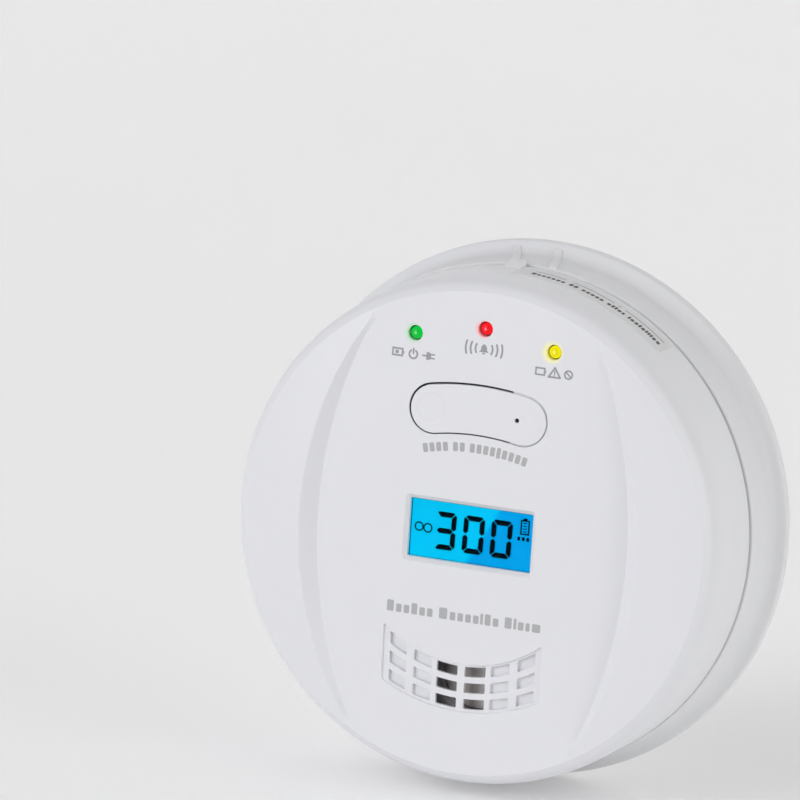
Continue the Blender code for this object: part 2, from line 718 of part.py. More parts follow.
# ---------------------------------------------------------------- display

LENS_FLANGE = (16.5 * MM, 8.5 * MM)
LENS_Z = (37.5 * MM, 38.0 * MM)
LENS_TOP = 39.0 * MM
GLASS = (17.0 * MM, 11.6 * MM)
GLASS_Z = (35.0 * MM, 37.2 * MM)
BACKLIGHT = (17.0 * MM, 8.7 * MM)
LIGHT_Z = (31.7 * MM, 34.7 * MM)
STRIP = (15.0 * MM, 0.8 * MM)
STRIP_Y = 10.3 * MM
HOLDER = (19.0 * MM, 13.4 * MM)
HOLDER_HOLLOW = (15.0 * MM, 7.2 * MM)


def display():
    """The lens fills its opening from behind. The glass, its light and its connectors sit in a holder."""
    lens = centred_box("lens_flange", (0, 0), LENS_FLANGE, LENS_Z)
    raised = [half - GAP for half in WINDOW]
    join(lens, centred_box("lens_face", (0, 0), raised, (LENS_Z[0], LENS_TOP)))
    as_part(lens, "display_window", "clear_window")
    glass = centred_box("display_glass", (0, 0), GLASS, GLASS_Z)
    as_part(glass, "display_glass", "display_blue")
    light = centred_box("display_backlight", (0, 0), BACKLIGHT, LIGHT_Z)
    as_part(light, "display_backlight", "diffuser")
    for side, name in ((1, "display_connector_upper"), (-1, "display_connector_lower")):
        strip = centred_box(name, (0, side * STRIP_Y), STRIP, (ON_BOARD, GLASS_Z[0] - GAP))
        as_part(strip, name, "dark_plastic")
    top = GLASS_Z[1]
    body = centred_box("holder_block", (0, 0), HOLDER, (ON_BOARD, top))
    above = top + 1 * MM
    for name, half, floor in (("glass_pocket", GLASS, GLASS_Z[0]), ("light_pocket", BACKLIGHT, LIGHT_Z[0])):
        cut(body, centred_box(name, (0, 0), [h + GAP for h in half], (floor - GAP, above)))
    cut(body, centred_box("holder_hollow", (0, 0), HOLDER_HOLLOW, (ON_BOARD - 1 * MM, above)))
    for side in (-1, 1):
        slot = (STRIP[0] + 0.4 * MM, STRIP[1] + 0.35 * MM)
        cut(body, centred_box(f"strip_slot_{side}", (0, side * STRIP_Y), slot, (ON_BOARD - 1 * MM, above)))
    return as_part(body, "display_holder", "dark_plastic")


# ---------------------------------------------------------------- board and components

def circuit_board():
    body = cylinder("board_disc", (0, 0), BOARD_R, BOARD_Z, STEPS)
    through = (BOARD_Z[0] - 3 * MM, BOARD_Z[1] + 3 * MM)
    for i, angle in enumerate(TWIST_TABS):
        cut(body, cylinder(f"board_notch_{i}", polar(BOSS_R, angle), BOARD_NOTCH_R, through, 20))
    for i, place in enumerate(BOARD_POSTS):
        cut(body, cylinder(f"board_hole_{i}", place, BOARD_HOLE_R, through, 12))
    return as_part(body, "circuit_board", "board_green")


def indicator(colour, place):
    """An LED and the spacer that holds it against the cover."""
    low, high = LED_FLANGE_Z
    dome = [polar(LED_R, a) for a in (90, 72, 54, 36, 18, 0)]
    profile = [(abs(x) if i else 0, LED_TIP_Z - LED_R + y) for i, (x, y) in enumerate(dome)]
    profile += [(LED_R, high), (LED_FLANGE_R, high), (LED_FLANGE_R, low), (0, low)]
    body = turned(f"led_{colour}_lens", profile, 20, place)
    for side in (-1, 1):
        leg = (place[0] + side * LED_LEG[0], place[1])
        join(body, cylinder(f"led_{colour}_leg_{side}", leg, LED_LEG[1], (ON_BOARD, low + 0.5 * MM), 8))
    as_part(body, f"led_{colour}", f"led_{colour}")
    ring = [(1.35, 34.0), (2.3, 34.0), (2.3, 24.9), (1.35, 24.9)]
    spacer = turned(f"spacer_{colour}", [(r * MM, z * MM) for r, z in ring], 20, place, closed=True)
    as_part(spacer, f"led_spacer_{colour}", "dark_plastic")


def buzzer():
    """A round resonator cup, and the piezo disc that lies in the seat in its front."""
    cup = [
        (8.6, 35.7), (13.4, 35.7), (13.4, 34.9), (13.0, 34.9), (13.0, 24.9),
        (11.8, 24.9), (11.8, 33.9), (7.0, 33.9), (7.0, 34.7), (8.6, 34.7),
    ]
    body = turned("buzzer_cup", [(r * MM, z * MM) for r, z in cup], 36, BUZZER, closed=True)
    as_part(body, "buzzer_housing", "dark_plastic")
    disc = [(0, 35.4), (8.3, 35.4), (8.3, 35.0), (6.2, 35.0), (6.2, 34.6), (0, 34.6)]
    body = turned("piezo", [(r * MM, z * MM) for r, z in disc], 32, BUZZER)
    as_part(body, "buzzer_piezo_disc", "brass")


def sensor():
    can = [(0, 34.3), (3.0, 34.3), (3.0, 34.6), (6.4, 34.6), (7.0, 34.0), (7.0, 24.9), (0, 24.9)]
    body = turned("sensor_can", [(r * MM, z * MM) for r, z in can], 28, SENSOR)
    as_part(body, "co_sensor_cell", "steel")
    cap = [(1.2, 36.2), (4.8, 36.2), (5.2, 35.8), (5.2, 34.9), (1.2, 34.9)]
    body = turned("sensor_cap", [(r * MM, z * MM) for r, z in cap], 24, SENSOR, closed=True)
    as_part(body, "co_sensor_filter", "dark_plastic")


def test_switch():
    body = centred_box("switch_case", PUSHER, (3 * MM, 3 * MM), (ON_BOARD, 28.6 * MM))
    cut(body, cylinder("switch_well", PUSHER, 2.0 * MM, (26.6 * MM, 30 * MM), 20))
    as_part(body, "test_switch", "dark_plastic")
    stem = cylinder("stem", PUSHER, 1.7 * MM, (27.4 * MM, 31.0 * MM), 20)
    as_part(stem, "switch_plunger", "dark_plastic", PLUNGER_AXIS)


def components():
    chip = centred_box("chip", (28 * MM, 10 * MM), (5 * MM, 5 * MM), (ON_BOARD, 26.6 * MM))
    cut(chip, cylinder("chip_mark", (24.6 * MM, 13.4 * MM), 0.6 * MM, (26.4 * MM, 28 * MM), 12))
    as_part(chip, "microcontroller", "dark_plastic")
    drum = [(0, 33), (4.5, 33), (4.5, 31.6), (3.0, 31.6), (3.0, 26.4), (4.5, 26.4), (4.5, 24.9), (0, 24.9)]
    coil = turned("drum", [(r * MM, z * MM) for r, z in drum], 24, (30 * MM, -6 * MM))
    as_part(coil, "inductor", "dark_plastic")
    can = [(0, 35.2), (2.6, 35.2), (3.1, 34.9), (3.1, 27.2), (2.8, 26.8), (3.1, 26.4), (3.1, 24.9), (0, 24.9)]
    tank = turned("can", [(r * MM, z * MM) for r, z in can], 24, (-29 * MM, 4 * MM))
    as_part(tank, "reservoir_capacitor", "steel")


# Head and shank as (radius, lower height), then the height of the tip.
HOUSING_SCREW = ((2.75 * MM, 6.4 * MM), (1.4 * MM, 8.7 * MM), 25 * MM)
BOARD_SCREW = ((2.4 * MM, 20.9 * MM), (1.1 * MM, 22.7 * MM), 31 * MM)


def screw(name, place, head, shank, tip_z):
    """A cross-head screw driven from behind: head and shank are (radius, lower height) pairs."""
    head_r, head_z = head
    shank_r, shank_z = shank
    body = turned(
        name + "_blank",
        [
            (0, tip_z), (shank_r * 0.4, tip_z), (shank_r, tip_z - 1.2 * MM), (shank_r, shank_z),
            (head_r, shank_z), (head_r, head_z + 0.5 * MM), (head_r - 0.5 * MM, head_z), (0, head_z),
        ],
        16,
        place,
    )
    for i, half in enumerate(((1.5 * MM, 0.3 * MM), (0.3 * MM, 1.5 * MM))):
        cut(body, centred_box(f"{name}_cross_{i}", place, half, (head_z - 1 * MM, head_z + 0.9 * MM)))
    return as_part(body, name, "steel")


LABEL_Z = (18.1 * MM, 26.5 * MM)
LABEL_ANGLES = (50.5, 90.2)
LABEL_THICK = 0.15 * MM              # also its gap to the cover


def side_label():
    """A thin sticker on the cover's side, to the right of the top."""
    inner = SIDE_R + LABEL_THICK
    outline = sector(inner, inner + LABEL_THICK, *LABEL_ANGLES, 25)
    return as_part(plate("label_strip", [outline], LABEL_Z), "side_label", "label")


mounting_plate()
front_cover()
test_button()
rear_housing()
battery_door()
for cell_name, cell_side in (("battery_cell_upper", 1), ("battery_cell_lower", -1)):
    battery_cell(cell_name, cell_side)
for spring_name, spring_side in (("battery_spring_upper", -1), ("battery_spring_lower", 1)):
    battery_spring(spring_name, spring_side)
link_contact()
terminal("terminal_negative", 1)
terminal("terminal_positive", -1)
battery_wire("battery_wire_black", 1, "wire_black")
battery_wire("battery_wire_red", -1, "wire_red")
display()
circuit_board()
for led_colour, led_place in LEDS.items():
    indicator(led_colour, led_place)
buzzer()
sensor()
test_switch()
components()
for number, place_angle in enumerate(TWIST_TABS, 1):
    screw(f"housing_screw_{number}", polar(BOSS_R, place_angle), *HOUSING_SCREW)
for number, post_place in enumerate(BOARD_POSTS, 1):
    screw(f"board_screw_{number}", post_place, *BOARD_SCREW)
side_label()
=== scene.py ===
"""Looks of the carbon monoxide alarm: surfaces, lit display and lamps, print, floor, light and camera.

Shapes are computed in the wall frame, in millimetres: x right, y up, z out of the wall. to_world turns them
into the row frame, in metres, where z points to -Y and y points to +Z.
"""

from math import atan2, cos, degrees, hypot, pi, radians, sin, sqrt

import bmesh
import bpy
import numpy as np
from mathutils import Matrix, Vector
from mathutils.geometry import delaunay_2d_cdt


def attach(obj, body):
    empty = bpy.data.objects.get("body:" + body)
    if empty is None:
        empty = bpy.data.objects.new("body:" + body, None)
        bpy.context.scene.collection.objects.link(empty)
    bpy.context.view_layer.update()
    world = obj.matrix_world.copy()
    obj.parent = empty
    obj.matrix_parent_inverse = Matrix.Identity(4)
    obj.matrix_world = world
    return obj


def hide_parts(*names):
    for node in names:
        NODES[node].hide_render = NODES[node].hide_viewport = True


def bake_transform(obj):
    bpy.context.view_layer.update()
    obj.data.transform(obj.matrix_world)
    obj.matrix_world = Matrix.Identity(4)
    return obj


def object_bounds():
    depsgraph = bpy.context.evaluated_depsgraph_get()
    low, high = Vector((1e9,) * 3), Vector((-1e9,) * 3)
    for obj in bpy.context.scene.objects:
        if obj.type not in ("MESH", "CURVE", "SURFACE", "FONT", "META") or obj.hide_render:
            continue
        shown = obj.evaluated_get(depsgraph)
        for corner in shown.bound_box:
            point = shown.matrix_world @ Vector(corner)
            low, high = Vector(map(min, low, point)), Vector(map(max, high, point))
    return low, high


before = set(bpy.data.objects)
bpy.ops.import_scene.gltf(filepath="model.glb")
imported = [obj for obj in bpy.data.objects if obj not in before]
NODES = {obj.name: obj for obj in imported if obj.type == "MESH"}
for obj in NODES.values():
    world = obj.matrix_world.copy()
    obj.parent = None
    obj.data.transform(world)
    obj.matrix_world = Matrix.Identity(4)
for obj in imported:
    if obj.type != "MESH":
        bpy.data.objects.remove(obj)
CAD_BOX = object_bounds()

# Sizes in millimetres, the same as the CAD part's.
MM = 0.001
TURN = 360                         # points round the big circles
FACE_Z = 38.7                      # plane of the circular edge round the face
FACE_R = 53.86
SEAM = 16.2
WALL = 2.2
SKIN_EDGE_R = 51.2                 # where the inner skin meets the side wall's inside
NUB_ANGLE = 92.3
CROWN = 2.1
ROLL = 0.75
CREASE_X = 36.5
CREASE_END = (25.5, 46.9)
FACET_SLOPE = 0.95
CREASE_C = (CREASE_END[0] ** 2 + CREASE_END[1] ** 2 - CREASE_X ** 2) / (2 * (CREASE_X - CREASE_END[0]))
CREASE_RADIUS = CREASE_C + CREASE_X
DOME = [(0, 3.95), (35.0, 3.95), (39.5, 3.4), (42.0, 3.0), (46.0, 2.25), (50.0, 1.25), (53.86, 0)]
SHOULDER = [(53.86, 0), (55.0, -0.95), (55.75, -2.0), (56.3, -3.8), (56.5, -6.3), (56.5, -9.0)]
WINDOW = (14.5, 6.55)
WINDOW_EDGE_Z = 39.3
BUTTON_Y = 27.95
BUTTON_ARC = 57.6
BUTTON_HALF = 5.35
BUTTON_END_X = 10.6
BUTTON_SLOT = 0.35
SLOT_END_X = 7.7                   # where the slot turns into a groove
GROOVE_DEPTH = 0.5
FLAP_BOTTOM = 38.3
FLAP_SHIFT = (0.03, -0.09)         # the flap hangs a little low in its slot
PUSHER = (-11.5, 27.3)
DIMPLE = (-10.9, 27.0)
DIMPLE_R = 3.3
DIMPLE_DEPTH = 0.13
PIN_HOLE = (9.15, 26.9)
BAND_R = (29.0, 39.7)
BAND_X = 18.7
BAND_DEPTH = 0.5
CELL_DEPTH = 0.9
ROW_R = (29.5, 33.15, 36.8)
ROW_HEIGHT = 2.25
OPEN_COLUMN = (3.3, 2.45)          # centre and half width
BLIND_COLUMNS = ((9.15, 2.15), (15.15, 2.0))
LEDS = {"green": (-16.3, 42.9), "red": (0.0, 45.9), "yellow": (16.3, 42.9)}
LED_HOLE_R = 1.7
HOLE_WALL = 1.8                    # depth of the lamps' holes and the button's
CELL_WALL = 0.75                   # depth of the open cells
LENS_WALL = 0.6                    # depth of the window's hole under its bevel
LAMP_R = 1.5
LAMP_TIP_Z = 39.2
ON_BOARD = 24.9
BUZZER = (2.8, -31.1)
SIDE_R = 56.6                      # outside of the sticker on the cover's side
INK_R = (56.59, 56.625)
LABEL_ANGLE = 69                   # degrees from +X to the sticker's middle

# Linear colours.
SHELL = (0.755, 0.757, 0.785)
PLATE = (0.735, 0.737, 0.755)
# Painted shade: a dark colour for the walls deep in the button's slot and in the pin hole, in place of white
# plastic.
SLOT_PAINTED_SHADE = (0.12, 0.12, 0.125)   # inside a slot too narrow for light to reach
PRINT = (0.335, 0.335, 0.345)
BLOCK_PRINT = (0.43, 0.43, 0.44)
COVER_SHARP = 13.0                 # degrees between faces that make a crisp edge
# Painted light: the lamps' spill on the face beside their holes, put into the cover's colour and emission.
GLOW_START = 0.0014                # metres from a lamp
GLOW_SHARE = {"green": 0.45, "red": 0.40, "yellow": 0.60}
GLOW_REACH = {"green": 0.0026, "red": 0.0024, "yellow": 0.0030}
LED_COLOURS = {"green": (0.0, 0.56, 0.05), "red": (0.95, 0.006, 0.015), "yellow": (0.86, 0.78, 0.0)}


# ---------------------------------------------------------------- meshes

def to_world(points):
    """Wall frame in millimetres to row frame in metres."""
    p = np.asarray(points, float).reshape(-1, 3)
    return np.column_stack([p[:, 0], -p[:, 2], p[:, 1]]) * MM


class Shell:
    """Faces gathered in the wall frame, then welded into one object."""

    def __init__(self):
        self.points = []
        self.faces = []
        self.slots = []

    def add(self, points, faces, slot=0):
        start = len(self.points)
        self.points += [tuple(map(float, p)) for p in points]
        self.faces += [tuple(int(i) + start for i in face) for face in faces]
        self.slots += [slot] * len(faces)

    def rings(self, rings, slot=0, closed=True):
        """Bands of quads between rings of equally many points."""
        count = len(rings[0])
        faces = []
        for k in range(len(rings) - 1):
            for i in range(count if closed else count - 1):
                j = (i + 1) % count
                a, b = k * count, (k + 1) * count
                faces.append((a + i, b + i, b + j, a + j))
        self.add(np.concatenate([np.asarray(r, float) for r in rings]), faces, slot)

    def build(self, name, materials, body, smooth=40.0):
        """The object, welded, shaded smooth up to an angle, riding on its body."""
        mesh = bpy.data.meshes.new(name)
        mesh.from_pydata([tuple(p) for p in to_world(self.points)], [], self.faces)
        mesh.polygons.foreach_set("material_index", self.slots)
        for material in materials:
            mesh.materials.append(material)
        bm = bmesh.new()
        bm.from_mesh(mesh)
        bmesh.ops.remove_doubles(bm, verts=bm.verts, dist=2e-7)
        bmesh.ops.dissolve_degenerate(bm, edges=bm.edges, dist=1e-8)
        bmesh.ops.recalc_face_normals(bm, faces=bm.faces)
        bm.to_mesh(mesh)
        bm.free()
        mesh.shade_smooth()
        mesh.set_sharp_from_angle(angle=radians(smooth))
        obj = bpy.data.objects.new(name, mesh)
        bpy.context.scene.collection.objects.link(obj)
        if body:
            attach(obj, body)
        return obj


def spaced(outline, step):
    """A closed outline with extra points so that no side is longer than step."""
    made = []
    for (ax, ay), (bx, by) in zip(outline, np.roll(outline, -1, 0)):
        parts = max(1, int(np.ceil(hypot(bx - ax, by - ay) / step)))
        made += [(ax + (bx - ax) * i / parts, ay + (by - ay) * i / parts) for i in range(parts)]
    return np.array(made)


def anticlockwise(outline):
    p = np.asarray(outline, float)
    q = np.roll(p, -1, 0)
    return p if (p[:, 0] * q[:, 1] - q[:, 0] * p[:, 1]).sum() > 0 else p[::-1]


def offset(outline, distance):
    """An anticlockwise outline moved outwards."""
    ahead = np.roll(outline, -1, 0) - outline
    ahead /= np.linalg.norm(ahead, axis=1)[:, None]
    normal = np.column_stack([ahead[:, 1], -ahead[:, 0]])
    behind = np.roll(normal, 1, 0)
    middle = (normal + behind) / (1 + (normal * behind).sum(1))[:, None]
    return outline + middle * distance


def distance_to(points, outline):
    """Signed distance from points to a closed outline, negative inside; 9 for points far from it."""
    found = np.full(len(points), 9.0)
    low, high = outline.min(0) - 2, outline.max(0) + 2
    near = np.flatnonzero(((points > low) & (points < high)).all(1))
    if not len(near):
        return found
    p = points[near]
    best = np.full(len(p), 1e9)
    inside = np.zeros(len(p), bool)
    for a, b in zip(outline, np.roll(outline, -1, 0)):
        side = b - a
        t = np.clip(((p - a) @ side) / (side @ side), 0, 1)
        best = np.minimum(best, ((p - a - t[:, None] * side) ** 2).sum(1))
        crosses = (a[1] > p[:, 1]) != (b[1] > p[:, 1])
        with np.errstate(divide="ignore", invalid="ignore"):
            x = a[0] + (p[:, 1] - a[1]) * side[0] / side[1]
        inside ^= crosses & (p[:, 0] < x)
    best = np.sqrt(best)
    found[near] = np.where(inside, -best, best)
    return found


def triangulate(loops, lines, loose):
    """Points and triangles of the plane, with every loop and line kept as edges."""
    coords, edges = [], []
    for outline in loops:
        start, count = len(coords), len(outline)
        coords += [tuple(p) for p in outline]
        edges += [(start + i, start + (i + 1) % count) for i in range(count)]
    for line in lines:
        start = len(coords)
        coords += [tuple(p) for p in line]
        edges += [(start + i, start + i + 1) for i in range(len(line) - 1)]
    coords += [tuple(p) for p in loose]
    verts, _, faces, *_ = delaunay_2d_cdt([Vector(c) for c in coords], edges, [], 0, 1e-5)
    points = np.array([(v.x, v.y) for v in verts])
    return points, np.array([tuple(f) for f in faces if len(f) == 3])


def outside(points, faces, outlines):
    """The faces whose centres lie in none of the outlines."""
    for outline in outlines:
        faces = faces[distance_to(points[faces].mean(1), outline) > 0]
    return faces


def filled(outline, loose=()):
    """Points and triangles that fill an outline."""
    points, faces = triangulate([outline], [], loose)
    return points, faces[distance_to(points[faces].mean(1), outline) < 0]


def lifted(points, z):
    """Flat points given one height, or a height each."""
    return np.column_stack([points, np.broadcast_to(np.asarray(z, float), len(points))])


def hex_grid(radius, step):
    """Points of a triangular grid in a disc."""
    made = []
    rows = int(radius / (step * 0.866)) + 1
    for j in range(-rows, rows + 1):
        shift = step / 2 if j % 2 else 0.0
        for i in range(-int(radius / step) - 1, int(radius / step) + 2):
            x, y = i * step + shift, j * step * 0.866
            if hypot(x, y) < radius:
                made.append((x, y))
    return np.array(made)


def circle(radius, count=TURN, centre=(0.0, 0.0)):
    a = np.arange(count) * 2 * pi / count
    return np.column_stack([centre[0] + radius * np.cos(a), centre[1] + radius * np.sin(a)])


def arc(centre, radius, start, end, count):
    a = np.radians(np.linspace(start, end, count))
    return np.column_stack([centre[0] + radius * np.cos(a), centre[1] + radius * np.sin(a)])


def rounded_box(centre, half, radius, corner=6):
    """An anticlockwise rectangle with round corners."""
    (cx, cy), (hx, hy) = centre, half
    hx, hy = hx - radius, hy - radius
    places = ((hx, hy, 0), (-hx, hy, 90), (-hx, -hy, 180), (hx, -hy, 270))
    return np.concatenate([arc((cx + x, cy + y), radius, a, a + 90, corner) for x, y, a in places])


def ring(radius, height):
    return lifted(circle(radius), height)


def smooth_line(points, per_span):
    """Points of a Catmull-Rom curve through the given ones."""
    p = np.asarray(points, float)
    ends = np.vstack([2 * p[0] - p[1], p, 2 * p[-1] - p[-2]])
    made = []
    for k in range(len(p) - 1):
        a, b, c, d = ends[k:k + 4]
        for t in np.arange(per_span) / per_span:
            square, cube = 2 * a - 5 * b + 4 * c - d, 3 * b - a - 3 * c + d
            made.append(b + ((c - a) * t + square * t ** 2 + cube * t ** 3) / 2)
    return np.array(made + [p[-1]])


def lathe(shell, profile, centre, count=48):
    """A closed turned solid from a profile of (radius, height) points; ends on the axis are fans."""
    angles = np.arange(count) * 2 * pi / count
    previous = None
    for r, z in profile:
        if r < 1e-6:
            now = [(centre[0], centre[1], z)]
        else:
            now = [(centre[0] + r * cos(a), centre[1] + r * sin(a), z) for a in angles]
        if previous is not None:
            many = max(len(previous), len(now))
            if len(previous) == len(now) and many > 1:
                shell.rings([previous, now])
            elif many > 1:
                fan, tip = (now, previous[0]) if len(previous) == 1 else (previous, now[0])
                faces = [(i, (i + 1) % many, many) for i in range(many)]
                shell.add([*fan, tip], faces)
        previous = now


def prism(shell, outline, low, high, slot=0):
    """A flat plate from an outline; low and high may be numbers or functions of (x, y)."""
    outline = anticlockwise(outline)
    points, faces = filled(outline)

    def at(level, flat):
        return lifted(flat, level(*flat.T) if callable(level) else level)

    for level in (low, high):
        shell.add(at(level, points), faces, slot)
    shell.rings([at(low, outline), at(high, outline)], slot)


# ---------------------------------------------------------------- the face

def crease_x(y):
    """Half width of the panel between its creases."""
    return np.sqrt(CREASE_RADIUS ** 2 - np.square(y)) - CREASE_C


def slopes(x, y):
    """Slopes for a curve through points that never overshoots them."""
    d = np.diff(y) / np.diff(x)
    m = np.zeros(len(x))
    m[0], m[-1] = d[0], d[-1]
    for i in range(1, len(x) - 1):
        if d[i - 1] * d[i] > 0:
            m[i] = 2 / (1 / d[i - 1] + 1 / d[i])
    return m


DOME_X = np.array([p[0] for p in DOME], float)
DOME_H = np.array([p[1] for p in DOME], float)
DOME_M = slopes(DOME_X, DOME_H)


def dome_height(r):
    """Height of the domed outer form over the face's edge plane."""
    r = np.clip(r, 0, DOME_X[-1])
    k = np.clip(np.searchsorted(DOME_X, r) - 1, 0, len(DOME_X) - 2)
    w = DOME_X[k + 1] - DOME_X[k]
    t = (r - DOME_X[k]) / w
    return (
        (2 * t ** 3 - 3 * t ** 2 + 1) * DOME_H[k] + (t ** 3 - 2 * t ** 2 + t) * w * DOME_M[k]
        + (3 * t ** 2 - 2 * t ** 3) * DOME_H[k + 1] + (t ** 3 - t ** 2) * w * DOME_M[k + 1]
    )


def face_z(x, y):
    """Height of the face without its recesses: a crowned panel, two facets and the domed sides."""
    x, y = np.asarray(x, float), np.asarray(y, float)
    across = np.abs(x)
    edge = crease_x(np.clip(y, -60, 60))
    fade = np.maximum(0.0, 1 - np.square(y / CREASE_END[1]))

    def panel(u):
        return CROWN * (1 - (u * u + y * y) / FACE_R ** 2) - ROLL * (u / edge) ** 4 * fade

    facet = panel(edge) + FACET_SLOPE * (across - edge)
    inner = panel(np.minimum(across, edge + 1))
    channel = np.maximum(inner, facet) + np.square(np.maximum(0.10 - np.abs(inner - facet), 0)) / 0.40
    radius = np.hypot(x, y)
    dome = dome_height(radius)
    # The ridges are rounded, but not the face's edge.
    soft = 0.16 * np.clip((FACE_R - radius) / 3, 0.05, 1)
    rounding = np.square(np.maximum(soft - np.abs(channel - dome), 0)) / (4 * soft)
    return FACE_Z + np.minimum(channel, dome) - rounding


def ridge_x(y):
    """Where a facet meets the domed side, found by halving."""
    low, high = crease_x(y), np.sqrt(np.maximum(0, FACE_R ** 2 - np.square(y)))
    fade = np.maximum(0.0, 1 - np.square(y / CREASE_END[1]))
    foot = CROWN * (1 - (low * low + y * y) / FACE_R ** 2) - ROLL * fade
    start = low.copy()
    for _ in range(40):
        middle = (low + high) / 2
        above = dome_height(np.hypot(middle, y)) > foot + FACET_SLOPE * (middle - start)
        low, high = np.where(above, middle, low), np.where(above, high, middle)
    return low


def facet_lines():
    """Lines along both creases and ridges, with close neighbours that hold their rounding."""
    lines = []
    y = np.linspace(-46.0, 46.0, 185)
    crease, ridge = crease_x(y), ridge_x(y)
    for shifts, at in (((-0.4, -0.12, 0, 0.12, 0.4), crease), ((-0.4, -0.14, 0, 0.14, 0.4), ridge)):
        for shift in shifts:
            fits = (ridge - crease > 1.1) & (np.hypot(at + shift, y) < 52.8)
            lines += [np.column_stack([side * (at + shift), y])[fits] for side in (-1, 1)]
    return lines


def kidney(half):
    """Outline of the button area, of a given half width."""
    tilt = degrees(atan2(BUTTON_END_X, sqrt(BUTTON_ARC ** 2 - BUTTON_END_X ** 2)))
    centre = (0, BUTTON_Y - BUTTON_ARC)
    ends = [arc(centre, BUTTON_ARC, 90 + s * tilt, 90 + s * tilt, 1)[0] for s in (-1, 1)]
    parts = [
        arc(ends[0], half, 270 - tilt, 450 - tilt, 33)[:-1],
        arc(centre, BUTTON_ARC + half, 90 - tilt, 90 + tilt, 41)[:-1],
        arc(ends[1], half, 90 + tilt, 270 + tilt, 33)[:-1],
        arc(centre, BUTTON_ARC - half, 90 + tilt, 90 - tilt, 41)[:-1],
    ]
    return anticlockwise(np.concatenate(parts))


def on_arcs(outline, top_r):
    """Bends an outline of (x, depth below the row's top) round the face's centre."""
    return anticlockwise([(x, -sqrt((top_r + s) ** 2 - x * x)) for x, s in outline])


def cell(centre_x, half_x, top_r):
    flat = spaced(rounded_box((centre_x, ROW_HEIGHT / 2), (half_x, ROW_HEIGHT / 2), 0.32), 0.7)
    return on_arcs(flat, top_r)


def band():
    height = BAND_R[1] - BAND_R[0]
    return on_arcs(spaced(rounded_box((0, height / 2), (BAND_X, height / 2), 0.6), 0.8), BAND_R[0])


class Recess:
    """An outline sunk into the face: (offset from the outline, depth) from far outside to inside."""

    def __init__(self, outline, profile, floor=None, wall=None):
        self.outline = anticlockwise(outline)
        self.profile = sorted(profile)
        self.floor = floor          # a plane that the depths lead to, as shares
        self.wall = wall            # depth of a through hole's wall below its own edge
        # Material slot 1 on a through hole's lower wall is the painted shade.
        self.dark = 0               # material of that wall's lower part

    def sink(self, points, surface):
        offsets, depths = zip(*self.profile)
        share = np.interp(distance_to(points, self.outline), offsets, depths)
        return share * (surface - self.floor) if self.floor is not None else share

    def loops(self):
        return [offset(self.outline, o) if o else self.outline for o, _ in self.profile]


def sunk_profile(depth):
    """A steep wall with a small round at its top and bottom."""
    return [
        (0.22, 0), (0.13, 0), (0.07, 0.015), (0.03, 0.05), (0.0, 0.12),
        (-0.03, depth - 0.08), (-0.07, depth - 0.02), (-0.12, depth), (-0.22, depth),
    ]


HOLE_PROFILE = [(0.32, 0), (0.16, 0), (0.09, 0.02), (0.03, 0.07), (0.0, 0.15)]
BEVEL_PROFILE = [(1.15, 0), (0.94, 0), (0.90, 0.02), (0.84, 0.06), (0.06, 0.56), (0.0, 0.62), (-0.01, 1.0)]


def face_recesses():
    recesses = [Recess(band(), sunk_profile(BAND_DEPTH))]
    for centre_x, half_x in BLIND_COLUMNS:
        for side in (-1, 1):
            recesses += [Recess(cell(side * centre_x, half_x, r), sunk_profile(CELL_DEPTH)) for r in ROW_R]
    small = [(0.18, 0), (0.10, 0), (0.05, 0.02), (0.0, 0.08)]
    for side in (-1, 1):
        x, half_x = side * OPEN_COLUMN[0], OPEN_COLUMN[1]
        recesses += [Recess(cell(x, half_x, r), small, wall=CELL_WALL) for r in ROW_R]
    recesses += [Recess(circle(LED_HOLE_R, 48, at), HOLE_PROFILE, wall=HOLE_WALL) for at in LEDS.values()]
    recesses.append(Recess(kidney(BUTTON_HALF + BUTTON_SLOT), HOLE_PROFILE, wall=HOLE_WALL))
    recesses[-1].dark = 1
    window = spaced(rounded_box((0, 0), WINDOW, 0.25), 0.9)
    recesses.append(Recess(window, BEVEL_PROFILE, floor=WINDOW_EDGE_Z, wall=LENS_WALL))
    return recesses


def sunk_z(points, recesses):
    surface = face_z(*points.T)
    return surface - sum(r.sink(points, surface) for r in recesses)


def clear_of(points, recesses, lines, gap):
    """The points that keep away from every recess's loops and from the lines."""
    keep = np.ones(len(points), bool)
    for recess in recesses:
        d = distance_to(points, recess.outline)
        offsets = [o for o, _ in recess.profile]
        inner = 9.0 if recess.wall is not None else -min(offsets) + gap
        keep &= (d > max(offsets) + gap) | (d < -inner)
    for line in lines:
        for start in range(0, len(points), 4000):
            part = points[start:start + 4000]
            apart = ((part[:, None, :] - line[None, ::2, :]) ** 2).sum(2).min(1)
            keep[start:start + 4000] &= apart > (gap + 0.15) ** 2
    return points[keep]


